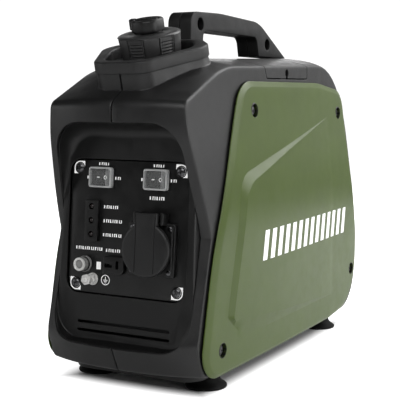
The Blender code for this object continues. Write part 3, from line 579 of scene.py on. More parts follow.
GRIP = plastic("grip_moulded", (0.010, 0.010, 0.0101), (0.5, 0.62), (1500, 0.28), 0.12, 0.3, 2.0, 0.35)
RUBBER = plastic("rubber_moulded", (0.004, 0.004, 0.004), (0.6, 0.8), (1600, 0.3), 0.2, 0.1, 0.8, 0.25)
# The print is given a faint glow though it is no lamp: painted light that brightens the white marks, emblem
# bars and rocker marks.
PRINT = plastic("print_ink", (0.86, 0.86, 0.85), (0.4, 0.55), (2600, 0.1), 0.03, 0, 0.1, glow=0.35)
LENS = plastic("lens_dark", (0.008, 0.003, 0.003), (0.06, 0.12), (900, 0.02), 0.1, 0, 0.3, 0.6)
SCREW = metal("screw_blackened", (0.13, 0.13, 0.135), (0.22, 0.4))
BRIGHT = metal("terminal_plated", (0.92, 0.91, 0.89), (0.3, 0.45), metallic=0.35)
PIPE = metal("pipe_heat_stained", (0.42, 0.38, 0.33), (0.3, 0.5))
CAST = metal("alloy_cast", (0.42, 0.42, 0.42), (0.45, 0.65), (500, 500, 500), 0.35, 0.8)
COVER = clear("cover_clear", (0.55, 0.56, 0.56), 0.12, 0.5)
RIM = clear("cover_rim", (0.85, 0.86, 0.86), 0.6, 0.85)
BOOT = plastic("boot_milky", (0.30, 0.30, 0.295), (0.1, 0.22), (700, 0.5), 0.4, 0.5, 0.5)
TANK = plastic("tank_natural", (0.62, 0.60, 0.50), (0.4, 0.5), (900, 0.1), 0.06, 0, 1.0)


# ================================================================ casing
def half_width(z):
    """Half the casing's width at a height."""
    rise = min(1.0, max(0.0, (z - WAIST_Z) / NARROWING_SPAN))
    return HALF_WIDTH - TOP_NARROWING * sin(pi / 2 * rise) ** 1.8


def side_x(y, z):
    """How far out the casing's side lies."""
    return half_width(z) + SIDE_BOW * max(0.0, 1 - ((y - BOW_CENTRE_Y) / BOW_REACH_Y) ** 2)


def bezel_y(x, z):
    """Front surface of the casing."""
    k = next((i for i in range(len(BEZEL) - 2) if z <= BEZEL[i + 1][0]), len(BEZEL) - 2)
    (low, low_edge, low_centre), (high, high_edge, high_centre) = BEZEL[k:k + 2]
    share = (z - low) / (high - low)
    edge = low_edge + (high_edge - low_edge) * share
    centre = low_centre + (high_centre - low_centre) * share
    return edge + (centre - edge) * (1 - abs(x / half_width(z)) ** CROWN_POWER)


def casing_rings():
    """Rings of the right half from its seam over the crown and round the crease to the side."""
    crease, counts = trace(CREASE, 10, 6.0)
    centre, _ = trace(CENTRE, 10, like=counts)

    def crown(u, sink=0.0):
        """Ring at a share of the half width, sunk in a little at the seam."""
        ring = []
        for p, q in zip(crease, centre):
            blend = 1 - u ** CROWN_POWER
            y, z = p.x + (q.x - p.x) * blend, p.y + (q.y - p.y) * blend
            inward = (Vector((SIDE_CENTRE[0], SIDE_CENTRE[1])) - Vector((y, z))).normalized() * sink
            ring.append(Vector((u * side_x(p.x, p.y), y + inward.x, z + inward.y)))
        return ring

    def side(scale):
        """Ring on the side, drawn towards its middle."""
        cy, cz = SIDE_CENTRE
        return [Vector((side_x(cy + (p.x - cy) * scale, cz + (p.y - cz) * scale),
                        cy + (p.x - cy) * scale, cz + (p.y - cz) * scale)) for p in crease]

    rings = [crown(0.004, 1.5), crown(0.008, 0.6), crown(0.014, 0.12), crown(0.022)]
    rings += [crown(u) for u in (0.1, 0.2, 0.3, 0.4, 0.5, 0.58, 0.66, 0.73, 0.79, 0.85, 0.9, 0.94, 0.975)]
    before, corner, after = rings[-1], crown(1.0), side(0.99)
    for t in (0.2, 0.4, 0.6, 0.8, 1.0):
        rings.append([a * (1 - t) ** 2 + c * (2 * t * (1 - t)) + b * t ** 2
                      for a, c, b in zip(before, corner, after)])
    return rings + [side(scale) for scale in (0.97, 0.94, 0.9, 0.86, 0.8, 0.74, 0.68, 0.62)]


def make_boss():
    """Right half of the boss that carries the filler collar, with a skirt that flares to the rear."""
    rings = []
    for h, flare in BOSS_SKIRT:
        corners = inset(COLLAR_OUTLINE, 1.4)[:3]
        front, rear = corners[0][1], corners[2][1]
        spread = [(x + flare * share, v, r) for (x, v, r), share in zip(corners, (0.0, 1.0, 0.7))]
        outline = [(0.35, front + 1.4, 0), (1.2, front, 0)] + spread + [(0.35, rear, 0)]
        rings.append([FILLER @ Vector((p.x, p.y, h)) for p in contour(outline, 12)])
    return build("boss", stitch(rings, True, True), CASING)


def make_casing():
    """The two casing halves and the service hatch."""
    right = thicken(build("casing_half_right", stitch(casing_rings()), CASING), WALL)
    opening, _ = trace(FASCIA_OUTLINE, 14, 10)
    carve(right, prism("front_tool", opening, *FRONT_CUT, None, FRONTWARD),
          prism("rear_tool", contour(REAR_OUTLINE), *REAR_CUT, None, FRONTWARD))
    left = mirrored(right, "casing_half_left")
    hatch = copied(right, "hatch_cover")
    cover, hole = contour(inset(HATCH, 0.7), 4), contour(inset(HATCH, -0.45), 4)
    carve(hatch, prism("hatch_tool", cover, HATCH_INNER_X + 0.9, 100, None, SIDEWARD), operation="INTERSECT")
    carve(right, prism("hatch_tool", hole, HATCH_INNER_X, 100, None, SIDEWARD))
    y, z = HATCH_SCREW
    carve(hatch, drill(4.4, 24, y, z, 40, 100, SIDEWARD),
          block("slot_tool", (40, y - 2.3, z - 9), (100, y + 2.3, z)))
    floor = block("hatch_floor", (66, y - 7, z - 6.3), (71.5, y + 7, z + 6), FASCIA)
    boss = make_boss()
    left_boss = mirrored(boss, "boss_left")
    fit(merge("casing_half_right", right, boss, floor), "casing_plastic", "casing_right")
    fit(merge("casing_half_left", left, left_boss), "casing_plastic", "casing_left")
    fit(hatch, "casing_plastic", "service_hatch")


# ================================================================ side panels
RIDGE_CREST = trace(RIDGE_TOP, 12, 7)[0]
RIDGE_FOOT = trace(RIDGE_BASE, 12, 7)[0]
PANEL_SMOOTH = 13        # edges sharper than this many degrees stay crisp


def crest_height(y):
    """Height of the raised field's crest: nothing at the rear, full at the front."""
    return RIDGE_HEIGHT * min(1.0, max(0.0, (RIDGE_REAR - y) / RIDGE_LENGTH)) ** 0.8


def ridge_height(y, z):
    """Height of the wedge-shaped raised field above the panel's face."""
    if not inside((y, z), RIDGE_FOOT):
        return 0.0
    if inside((y, z), RIDGE_CREST):
        return crest_height(y)
    up, down = distance((y, z), RIDGE_CREST), distance((y, z), RIDGE_FOOT)
    return crest_height(y) * down / max(1e-6, up + down)


def panel_rings():
    """Rings of the right panel from its rim over the chamfer to the edge of the face."""
    _, counts = trace(PANEL_OUTLINE, 12, 5.0)
    rings = []
    for share, lift in PANEL_PROFILE:
        corners = offset_corners(PANEL_OUTLINE, [w * share for w in PANEL_CHAMFER])
        points, _ = trace(corners, 12, like=counts)
        rings.append([Vector((side_x(p.x, p.y) + lift, p.x, p.y)) for p in points])
    return rings


def panel_shell(name, rings):
    """A closed panel: rim and chamfer, a face with the raised field in it, and a plain back."""
    bm = stitch(rings)
    loops = [[Vector((p.y, p.z)) for p in rings[-1]], RIDGE_FOOT, RIDGE_CREST]
    points, edges = [], []
    for loop in loops:
        first = len(points)
        points += loop
        edges += [(first + i, first + (i + 1) % len(loop)) for i in range(len(loop))]
    step = 7.0
    for i in range(60):
        for j in range(42):
            p = Vector((-195 + step * (i + 0.5 * (j % 2)), 20 + step * j * 0.94))
            if inside(p, loops[0]) and min(distance(p, loop) for loop in loops) > 2.5:
                points.append(p)
    found, _, faces, _, _, _ = geometry.delaunay_2d_cdt(points, edges, [], 1, 1e-5)
    crest = {(round(p.x, 3), round(p.y, 3)) for p in RIDGE_CREST}
    foot = {(round(p.x, 3), round(p.y, 3)) for p in RIDGE_FOOT}
    verts = []
    for p in found:
        key = (round(p.x, 3), round(p.y, 3))
        if key in crest:
            height = crest_height(p.x)
        else:
            height = 0.0 if key in foot else ridge_height(p.x, p.y)
        verts.append(bm.verts.new((side_x(p.x, p.y) + PANEL_LIFT - 0.04 + height, p.x, p.y)))
    for face in faces:
        bm.faces.new([verts[i] for i in face])
    cy, cz = SIDE_CENTRE
    back = [bm.verts.new((p.x - 0.2, cy + (p.y - cy) * 0.3, cz + (p.z - cz) * 0.3)) for p in rings[0]]
    bm.verts.ensure_lookup_table()
    rim = bm.verts[:len(back)]
    for i in range(len(back)):
        j = (i + 1) % len(back)
        bm.faces.new((rim[j], rim[i], back[i], back[j]))
    bm.faces.new(back)
    bmesh.ops.remove_doubles(bm, verts=bm.verts, dist=0.01)
    return build(name, bm, GREEN, smooth=PANEL_SMOOTH)


def well(y, z):
    """Cup that lines a screw well."""
    inner, outer = WELL_RADIUS, WELL_RADIUS + 1
    profile = [(inner, PANEL_LIFT + 0.3), (inner, 0.4), (2.4, 0.4), (2.4, -0.6), (outer, -0.6),
               (outer, PANEL_LIFT - 0.4)]
    return lathe("well", profile, TRIM, move(side_x(y, z), y, z) @ OUTWARD, 32)


def screw_mesh():
    """Round-headed cross-recess screw, used again for every place."""
    profile = [(0, 2.3), (1.6, 2.25), (3.2, 1.95), (4.5, 1.3), (5.2, 0.5), (5.2, 0.0), (0, 0.0)]
    screw = lathe("screw", profile, SCREW, Matrix(), 32)
    arms = [block("arm", (-2.9, -0.5, 0.9), (2.9, 0.5, 4)), block("arm", (-0.5, -2.9, 0.9), (0.5, 2.9, 4))]
    return carve(screw, *arms)


def emblem():
    """A generic row of slanted bars in place of any lettering."""
    first, last, middle, height, bars = EMBLEM
    pitch = (last - first) / bars
    lean, rows, columns = 0.2, 6, 4
    bm = bmesh.new()
    for k in range(bars):
        width = pitch * 0.56
        low = middle - height / 2
        grid = []
        for i in range(rows + 1):
            z = low + height * i / rows
            ys = [first + pitch * k + width * j / columns + (z - low) * lean for j in range(columns + 1)]
            points = [(side_x(y, z) + PANEL_LIFT + ridge_height(y, z) + 0.1, y, z) for y in ys]
            grid.append([bm.verts.new(point) for point in points])
        for i in range(rows):
            for j in range(columns):
                bm.faces.new((grid[i][j], grid[i][j + 1], grid[i + 1][j + 1], grid[i + 1][j]))
    return build("emblem_bars", bm, PRINT)


def make_panels():
    """The two green panels with their wells and emblem."""
    right = panel_shell("panel_right", panel_rings())
    wells = [drill(WELL_RADIUS, 40, y, z, *RIGHT_CUT, SIDEWARD)
             for y, z in PANEL_SCREWS]
    carve(right, *wells, smooth=PANEL_SMOOTH)
    cups = merge("wells", *[well(y, z) for y, z in PANEL_SCREWS])
    left = mirrored(right, "panel_left")
    left_cups = mirrored(cups, "wells_left")
    bars = emblem()
    fit(bars, "button_white")
    fit(mirrored(bars, "emblem_left"), "button_white")
    y, z = RECOIL_AT
    face = side_x(y, z) + PANEL_LIFT
    pocket = rectangle(*RECOIL_POCKET, y, z)
    rim = slab("pocket", inset(pocket, -2.5), -face - 1.6, -face + 27, TRIM, SIDEWARD, 0.1, 1.4)
    carve(left, prism("pocket_tool", contour(pocket), *LEFT_CUT, None, SIDEWARD),
          drill(CHOKE_HOLE, 24, *CHOKE_AT, *LEFT_CUT, SIDEWARD), smooth=PANEL_SMOOTH)
    carve(rim, cutter(inset(pocket, 0.3), -face - 30, -face + 24.5, SIDEWARD, 6.0),
          drill(4.5, 24, y, z, -face, 0, SIDEWARD))
    fit(right, "panel_green", "side_panel_right")
    fit(cups, "trim_plastic")
    fit(left, "panel_green", "side_panel_left")
    fit(merge("wells_left", left_cups, rim), "trim_plastic")


def make_screws():
    """Heads of the panel, plate and hatch screws, each turned by its own angle."""
    screw = screw_mesh()
    for i, (y, z) in enumerate(PANEL_SCREWS):
        for name, side in (("right", 1), ("left", -1)):
            at = move(side * (side_x(y, z) + 0.7), y, z) @ spin(side * pi / 2, "Y") @ spin(0.7 * i + 0.4, "Z")
            head = copied(screw, "side_screw_head_%s_%d" % (name, i + 1), at)
            fit(head, "screw_steel", "side_screw_%s_%d" % (name, i + 1))
    for i, (sx, sy) in enumerate(CORNERS):
        at = PLATE @ move(sx * PLATE_SCREWS[0], sy * PLATE_SCREWS[1], 0.1)
        at = at @ (spin(0.5 * i + 0.3, "Z") @ Matrix.Diagonal((0.86, 0.86, 0.9, 1)))
        head = copied(screw, "plate_screw_head_%d" % (i + 1), at)
        fit(head, "screw_steel", "panel_screw_%d" % (i + 1))
    at = move(71.6, *HATCH_SCREW) @ OUTWARD @ Matrix.Diagonal((0.6, 0.6, 0.9, 1))
    fit(copied(screw, "hatch_screw_head", at), "screw_steel", "hatch_screw")
    drop(screw)


# ================================================================ front
def fascia_y(z):
    """Where the tray's floor lies."""
    return PLATE_ORIGIN.y - PLATE_SINK - (PLATE_ORIGIN.z - z) * tan(radians(PLATE_TILT))


def plate_gap(p):
    """Free space between a point of the fascia's rim and the pocket of the control plate."""
    across = max(0.0, abs(p.x) - PLATE_HALF[0] - 1.0)
    along = max(0.0, abs(p.y - PLATE_ORIGIN.z) - PLATE_HALF[1] - 0.6)
    return max(0.0, (across ** 2 + along ** 2) ** 0.5 - 0.3)


def make_fascia():
    """Deep tray with coved walls round the control panel."""
    outline, _ = trace(inset(FASCIA_OUTLINE, 0.5), 14, 6)
    count = len(outline)
    normals = []
    for i in range(count):
        along = (outline[(i + 1) % count] - outline[i - 1]).normalized()
        normals.append(Vector((along.y, -along.x)))
    rings = []
    for k in range(11):
        t = k / 10 * pi / 2
        ring = []
        for p, n in zip(outline, normals):
            start = bezel_y(p.x, p.y) + 1.2
            depth = fascia_y(p.y) - start
            cove = min(17.0, max(1.4, depth * 0.55), max(1.4, plate_gap(p)))
            q = p + n * (cove * min(1.0, max(0.2, (p.y - 55) / 50))) * (1 - cos(t))
            ring.append(Vector((q.x, start + (fascia_y(q.y) - start) * sin(t), q.y)))
        rings.append(ring)
    tray = build("fascia_tray", stitch(rings, False, True), FASCIA, smooth=FASCIA_SMOOTH)
    thicken(tray, 2.0, -1 if tray.data.polygons[-1].normal.y < 0 else 1, FASCIA_SMOOTH)
    seat = rectangle(PLATE_HALF[0] + 0.9, PLATE_HALF[1] + 0.9, 13.5)
    slots = [cutter(rectangle(*VENT_SLOT_HALF, 0, z), 150, 230, FRONTWARD)
             for z in VENT_SLOTS]
    carve(tray, cutter(seat, -1.2, 30, PLATE), *slots, smooth=FASCIA_SMOOTH)
    fit(tray, "fascia_plastic", "front_fascia")
    fit(block("fascia_shadow", (-56, -180, 48), (56, -176, 70), CONTROL), "fascia_plastic")


def flat(bm, outline, height=0.06):
    """Add a thin printed shape to a mesh."""
    bm.faces.new([bm.verts.new((p[0], p[1], height)) for p in outline])


def ring_print(bm, x, y, radii, count=28, height=0.06, slope=0.0):
    """Add a thin printed ring to a mesh; its height may rise with x."""
    rows = [[bm.verts.new((p.x, p.y, height + slope * (p.x - x))) for p in circle(radius, count, x, y)]
            for radius in radii]
    bridge(bm, *rows)


def bar(bm, x, y, width, length, height=0.06):
    """Add a printed bar to a mesh."""
    a, b = width / 2, length / 2
    flat(bm, [(x - a, y - b), (x + a, y - b), (x + a, y + b), (x - a, y + b)], height)


def dashes(bm, x, y, count, length=3.0):
    """A row of short upright strokes where the machine carries a word."""
    for k in range(count):
        width = 1.5 if k % 3 else 2.1
        bar(bm, x, y, width * 0.62, length)
        if k % 2:
            bar(bm, x + 0.75, y + length * (0.42 if k % 4 == 1 else -0.42), 1.3, length * 0.16)
        x += width + 0.75


def make_prints():
    """Generic marks on the control panel: corner fields, strokes and the earth sign."""
    bm = bmesh.new()
    a, b = PLATE_SCREWS
    for sx, sy in CORNERS:
        points = contour([(sx * (a + u), sy * (b + v), radius) for u, v, radius in CORNER_FIELD])
        if sx * sy > 0:
            points.reverse()
        flat(bm, points)
    for x, y in SWITCHES.values():
        dashes(bm, x - 4.5, y + 13.0, 5, 2.6)
        dashes(bm, x - 17.6, y - 0.4, 2, 2.8)
        dashes(bm, x + 14.6, y - 0.4, 3, 2.8)
    dashes(bm, 24.5, 30.4, 7, 3.2)
    for y, count in zip(LAMPS.values(), (7, 9, 9)):
        dashes(bm, LAMP_X + 12.4, y, count)
    dashes(bm, -57.5, -21.6, 13)
    dashes(bm, -22.5, -22.2, 7)
    bar(bm, -31, -37.7, 5.0, 7.2)
    x, y = EARTH_SIGN_AT
    ring_print(bm, x, y, (5.0, 4.3))
    bar(bm, x, y + 1.6, 0.7, 3.0)
    for k, width in enumerate((5.0, 3.4, 1.8)):
        bar(bm, x, y - 0.2 - k * 1.3, width, 0.6)
    fit(build("printed_marks", bm, PRINT, PLATE, repair=False), "button_white")
    profile = [(0, 0.02), (4.6, 0.02), (4.9, 0.5), (5.4, 0.5), (5.8, 0.02), (5.8, -0.2), (0, -0.2)]
    recesses = [lathe("recess", profile, CONTROL, PLATE @ move(sx * a, sy * b, 0), 40) for sx, sy in CORNERS]
    fit(merge("screw_recesses", *recesses), "control_plate")


def make_plate():
    """Control panel plate with a window for each switch."""
    plate = slab("control_plate_face", rectangle(*PLATE_HALF, 12.5), -1.0, 0, CONTROL, PLATE, 0.5)
    carve(plate, *[cutter(rectangle(*SWITCH_POCKET, *at), -4, 4, PLATE)
                   for at in SWITCHES.values()])
    fit(plate, "control_plate", "control_panel")


def make_switch(label):
    """Rocker switch under a milky splash cover."""
    x, y = SWITCHES[label]
    housing = slab("housing", rectangle(13.4, 10.3, 2.0, x, y), 0.05, 1.6, TRIM, PLATE, 0.5)
    carve(housing, cutter(rectangle(*SWITCH_POCKET, x, y), -9, 9, PLATE))
    floor = block("floor", (x - 13, y - 9, -8.5), (x + 13, y + 9, -7.5), TRIM, PLATE)
    fit(merge(label + "_housing", housing, floor), "trim_plastic", label + "_switch")
    frame_ring = slab("cover_frame", rectangle(12.9, 9.9, 2.4, x, y), 0.1, 6.4, RIM, PLATE, 1.2)
    carve(frame_ring, cutter(rectangle(11.5, 8.1, 1.6, x, y), -5, 9, PLATE))
    ribs = [block("rib", (x + at, y - 8.2, 5.5), (x + at + 0.3, y + 8.2, 6.2), RIM, PLATE)
            for at in (7.0, 8.4, 9.8)]
    fit(merge("cover_frame", frame_ring, *ribs), "button_white")
    fit(slab("cover_window", rectangle(11.7, 8.3, 1.6, x, y), 5.4, 6.1, COVER, PLATE, 0.3), "button_white")
    rings = []
    for v, slim in ((-7.0, 0.4), (-6.6, 0.0), (6.6, 0.0), (7.0, 0.4)):
        rings.append([(x + u * (1 - slim / 14), y + v, h - (slim if h > 0 else 0)) for u, h in ROCKER])
    rocker = build(label + "_rocker_key", stitch(rings, True, True), CONTROL, PLATE)
    fit(rocker, "control_plate", label + "_rocker", body=label + "_rocker")
    bm = bmesh.new()
    bar(bm, x - 3.9, y, 3.0, 1.0, 2.45)
    ring_print(bm, x + 4.0, y, (2.0, 1.2), 20, 2.2, 0.13)
    fit(build(label + "_rocker_marks", bm, PRINT, PLATE), "button_white", body=label + "_rocker")


def make_indicators():
    """Raised strip with three dark lamps."""
    strip = slab("indicator_bar", rectangle(7.5, 20, 1.2, LAMP_X, 5.5), 0.05, 4.2, TRIM, PLATE, 0.6)
    tools = [drill(3.1, 28, LAMP_X, y, 0.8, 9, PLATE) for y in LAMPS.values()]
    carve(strip, *tools)
    fit(strip, "trim_plastic", "indicator_strip")
    profile = [(0, 3.6), (1.0, 3.45), (1.9, 2.9), (2.5, 1.9), (2.6, 0.2), (0, 0.2)]
    for label, y in LAMPS.items():
        dome = lathe("lamp_dome_" + label, profile, LENS, PLATE @ move(LAMP_X, y, 0.7), 28)
        fit(dome, "lamp_lens", "lamp_" + label)


def make_breaker():
    """Push-to-reset breaker: milky collar and milky boot."""
    at = PLATE @ move(*BREAKER_AT, 0)
    profile = [(7.9, 0.1), (7.9, 2.2), (7.6, 2.6), (7.1, 2.6), (6.8, 2.2), (6.8, 0.1)]
    collar = lathe("breaker_collar", profile, BOOT, at, 40)
    stem = lathe("stem", [(0, 4.4), (5.2, 4.4), (5.2, 0.1), (0, 0.1)], TRIM, at, 32)
    fit(merge("breaker_collar", collar, stem), "trim_plastic", "breaker_body")
    profile = [(0, 10.4), (2.7, 10.4), (3.0, 9.6), (3.6, 9.6), (6.0, 10.2), (6.3, 9.2), (6.5, 7.4),
               (6.1, 7.0), (6.1, 6.4), (6.5, 6.0), (6.6, 4.4), (5.7, 4.4), (5.7, 9.0), (0, 9.0)]
    boot = lathe("boot", profile, BOOT, at, 40)
    profile = [(4.3, 9.8), (4.3, 11.2), (4.7, 11.6), (6.1, 11.6), (6.5, 11.1), (6.5, 9.8)]
    ring = lathe("ring", profile, BRIGHT, at, 40)
    fit(merge("breaker_boot", boot, ring), "button_white", "breaker_button", body="breaker_button")


def make_sockets():
    """Low-voltage socket and earth terminal."""
    x, y = DC_AT
    outline = [(x + 11.6, y + 8.4, 2), (x + 11.6, y - 8.4, 5), (x - 11.6, y - 8.4, 2), (x - 11.6, y + 8.4, 2)]
    socket = slab("low_voltage_socket", outline, 0.05, 5.5, TRIM, PLATE, 0.7)
    carve(socket, block("slot_tool", (x - 9.8, y - 2.2, 1), (x - 1.0, y + 1.5, 9), None, PLATE),
          block("slot_tool", (x + 3.0, y - 3.2, 1), (x + 6.4, y + 4.8, 9), None, PLATE))
    fit(socket, "trim_plastic", "dc_socket")
    at = PLATE @ move(*EARTH_AT, 0)

    def nut(low, high, turn):
        """Hexagon nut between two heights."""
        profile = [(2.6, low), (4.8, low), (5.3, low + 0.5), (5.3, high - 0.5), (4.8, high), (2.6, high)]
        return lathe("nut", profile, BRIGHT, at, 48, hexagon(3, turn, 1.04))

    washer = lathe("washer", [(2.6, 0.05), (6.0, 0.05), (6.1, 0.5), (6.0, 1.2), (2.6, 1.2)], BRIGHT, at, 40)
    thread = [(2.75 if k % 2 else 2.35, 14.6 - k * 0.5) for k in range(28)]
    stud = lathe("stud", [(0, 15), (2.0, 14.9)] + thread + [(0, 0.3)], BRIGHT, at, 32)
    nuts = nut(1.3, 5.6, 0.2), nut(9.2, 13.4, 0.7)
    fit(merge("earth_stud", washer, *nuts, stud), "bright_metal", "earth_terminal")


def lid_corners(shrink=0.0):
    """Outline of the outlet lid: a disc with its hinge tab, from the outlet's middle."""
    radius, tab = 25.6 - shrink, 11.6 - shrink
    start = radians(64)
    points = [Vector((tab, 34.6 - shrink)), Vector((-tab, 34.6 - shrink))]
    points += [Vector((-tab, 27)), Vector((-tab - 0.4, 25))]
    count = 56
    for k in range(count + 1):
        angle = pi - start + (pi + 2 * start) * k / count
        points.append(Vector((radius * cos(angle), radius * sin(angle))))
    points += [Vector((tab + 0.4, 25)), Vector((tab, 27))]
    return points


def make_outlet():
    """Mains outlet with its flange, gasket and hinged lid."""
    x, y = OUTLET_AT
    at = PLATE @ move(x, y, 0)
    flange = slab("flange", rectangle(25.3, 25.3, 3, x, y), 0.05, 5.0, TRIM, PLATE, 0.8)
    step = slab("step", rectangle(22.8, 22.8, 3, x, y), 4.5, 6.2, TRIM, PLATE, 0.6)
    for piece in (flange, step):
        carve(piece, drill(17.0, 48, x, y, 1.6, 9, PLATE))
    profile = [(17.0, 1), (21.0, 1), (21.0, 10.2), (20.4, 11.0), (17.4, 11.0), (17.0, 10.4)]
    barrel = lathe("barrel", profile, TRIM, at, 64)
    well_floor = lathe("well_floor", [(0, 1.6), (17.2, 1.6), (17.2, 0.8), (0, 0.8)], TRIM, at, 48)
    profile = [(0, 1.7), (2.4, 1.7), (2.4, 1.5), (0, 1.5)]
    pins = [lathe("pin", profile, CONTROL, PLATE @ move(x + dx, y, 0), 24) for dx in (-9.5, 9.5)]
    ears = [block("ear", (middle - 1.9, y + 23.2, 1), (middle + 1.9, y + 35, 12.8), TRIM, PLATE, 1.2)
            for middle in (x - 14.4, x + 14.4)]
    profile = [(0, 6.9), (1.5, 6.8), (2.4, 6.3), (2.4, 5.2), (0, 5.2)]
    screws = [lathe("flange_screw", profile, SCREW, PLATE @ move(x + sx * 20.3, y + sy * 20.3, 0), 20)
              for sx, sy in CORNERS]
    fit(merge("mains_outlet", flange, step, barrel, well_floor, *pins, *ears, *screws), "trim_plastic",
        "ac_outlet")
    rings = [[(p.x + x, p.y + y, height) for p in lid_corners(shrink)] for shrink, height in LID_EDGE]
    disc = build("disc", stitch(rings, True, True), LID, PLATE)
    grooves = []
    for middle in (x - 10.2, x + 10.2):
        low, high = (middle - 0.45, y - 21, 16.3), (middle + 0.45, y + 40, 20)
        grooves.append(block("groove_tool", low, high, None, PLATE))
    carve(disc, *grooves)
    profile = [(0, -11.4), (2.9, -11.4), (3.4, -10.9), (3.4, 10.9), (2.9, 11.4), (0, 11.4)]
    hinge = lathe("hinge", profile, LID, PLATE @ move(x, y + 29.5, 9.5) @ OUTWARD, 24)
    neck = block("neck", (x - 11.2, y + 25.5, 9.5), (x + 11.2, y + 32.6, 12.5), LID, PLATE, 0.8)
    fit(merge("outlet_lid_disc", disc, hinge, neck), "trim_plastic", "ac_outlet_lid", body="outlet_lid")


# ================================================================ filler and handle
def cap_wave(radius, angle, height):
    """Grip of the fuel cap: smooth panels with raised edges between ribbed ones."""
    if radius < CAP_RADIUS - 3.6:
        return radius
    radius += 0.9 * (height - 4) / 10
    turned = angle / (2 * pi) * CAP_PANELS + 0.35
    sector = turned % 1.0
    smooth_panel = int(turned) % 2 == 0
    edge = min(sector, 1 - sector)
    if height > 13.4:
        return radius
    if smooth_panel:
        return radius - (1.9 if edge < 0.05 else 0.0)
    if edge < 0.08:
        return radius - 0.2
    rib = 0.3 * sin(2 * pi * height / 3.0) if -5 < height < 11 else 0.0
    return radius - 1.2 + rib


def make_filler():
    """Collar, fuel cap and vent knob on the tilted filler axis."""
    collar = slab("filler_shield", COLLAR_OUTLINE, -COLLAR_THICK, 0, COLLAR, FILLER, 1.8, 0.6, 14)
    lip = [[(p.x, p.y, h) for p in contour(inset(COLLAR_HOLE, -out), 14)]
           for out, h in ((0.0, -1.6), (0.4, -0.7), (1.2, -0.1), (1.6, 0.01), (2.2, 1.0))]
    carve(collar, prism("hole_tool", contour(COLLAR_HOLE, 14), -30, 30, None, FILLER),
          build("lip_tool", stitch(lip, True, True), None, FILLER))
    fit(collar, "casing_plastic", "filler_collar")
    r = CAP_RADIUS
    profile = [(0, 9), (24, 9), (24, -5), (r - 3.5, -5.4), (r - 1.2, -7)]
    profile += [(r, -7 + 20.4 * k / 68) for k in range(69)]
    profile += [(r - 0.4, 13.9), (r - 1.4, 14.8), (r - 3.0, 15.4), (r - 5.5, 15.6)]
    profile += [(19, 15.3), (18.4, 14.9), (0, 14.9)]
    cap = lathe("fuel_cap_grip", profile, CAP, FILLER, 288, cap_wave)
    fit(cap, "trim_plastic", "fuel_cap", body="fuel_cap")
    k = KNOB_RADIUS

    def knob_wave(radius, angle, height):
        """Four shallow flats round the knob."""
        flat_side = 0.7 * max(0.0, cos(4 * angle + 0.6)) if radius > k - 1.3 else 0.0
        return radius - flat_side

    profile = [(0, 15.9), (k - 1.6, 15.9), (k - 1.2, 17.0), (k - 0.2, 17.6), (k, 18.4), (k, 27.0),
               (k - 0.4, 28.0), (k - 1.4, 28.7), (k - 3.2, 28.8), (k - 3.9, 28.0), (0, 27.6)]
    knob = lathe("knob", profile, FASCIA, FILLER, 192, knob_wave)
    at = FILLER @ spin(radians(KNOB_TURN), "Z")
    tab = block("tab", (-k - 2.3, -3.4, 18.8), (-k + 4, 3.4, 29.6), FASCIA, at, 1.2)
    rib = block("rib", (-k + 3, -1.7, 27.4), (k - 5, 1.7, 29.2), FASCIA, at, 0.7)
    fit(merge("vent_knob_grip", knob, tab, rib), "trim_plastic", "vent_knob", body="vent_knob")


def make_handle():
    """Carrying handle: two bolted halves with rounded edges."""
    outline, _ = trace(HANDLE_OUTLINE, 12, 8)
    right = prism("handle_half_right", outline, 0.15, HANDLE_HALF, GRIP, SIDEWARD)
    modify(right, "BEVEL", width=2.2 * MM, segments=3, limit_method="ANGLE", angle_limit=radians(60),
           harden_normals=False)
    apply(right)
    carve(right, *[drill(6.8, 36, y, z, 4, 30, SIDEWARD) for y, z in HANDLE_BOLTS])
    profile = [(0, 3.2), (4.3, 3.2), (4.9, 2.7), (4.9, 0), (0, 0)]
    heads = [lathe("bolt", profile, SCREW, move(4.2, y, z) @ OUTWARD, 36, hexagon()) for y, z in HANDLE_BOLTS]
    right = merge("handle_half_right", right, *heads)
    left = mirrored(right, "handle_half_left")
    fit(right, "handle_plastic", "handle_right")
    fit(left, "handle_plastic", "handle_left")


# ================================================================ rear, feet, controls on the left
def make_rear():
    """Louvred rear cover with its exhaust outlet and screws."""
    cover = slab("rear_louvres", inset(REAR_OUTLINE, 0.6), -200, -196, FASCIA, FRONTWARD, 0.1, 1.2)
    rises = [k * LOUVRE_PITCH for k in range(LOUVRES)]
    tools = [cutter(rectangle(43, 2.6, 2.4, 0, LOUVRE_Z + rise), *REAR_CUT, FRONTWARD)
             for rise in rises]
    carve(cover, *tools, drill(17, 48, 0, EXHAUST_Z, *REAR_CUT, FRONTWARD))
    blades = [block("blade", (-44, -1.0, -3.4), (44, 1.0, 3.4), FASCIA,
                    move(0, 194, LOUVRE_Z - 2 + rise) @ spin(radians(35), "X"), 0.6) for rise in rises]
    profile = [(0, 2.2), (3.4, 1.9), (4.4, 0.8), (4.4, 0), (0, 0)]
    bolts = [lathe("rear_bolt", profile, SCREW, move(x, 200, z) @ REARWARD, 24)
             for x in (-48, 48) for z in (70, 228)]
    fit(merge("rear_louvres", cover, *blades, *bolts), "fascia_plastic", "rear_cover")
    profile = [(11, 190), (15, 190), (15, 207.4), (14.4, 208.9), (13, 208.9), (11.6, 208.4), (11, 207)]
    pipe = lathe("pipe", profile, PIPE, move(0, 0, EXHAUST_Z) @ REARWARD, 56)
    wires = [block("wire", (-11, 199.6, -0.3), (11, 200.2, 0.3), PIPE,
                   move(0, 0, EXHAUST_Z) @ spin(turn, "Y") @ move(0, 0, z))
             for turn in (0, pi / 2) for z in (-7.5, -5, -2.5, 0, 2.5, 5, 7.5)]
    fit(merge("exhaust_pipe", pipe, *wires), "bright_metal", "exhaust_outlet")


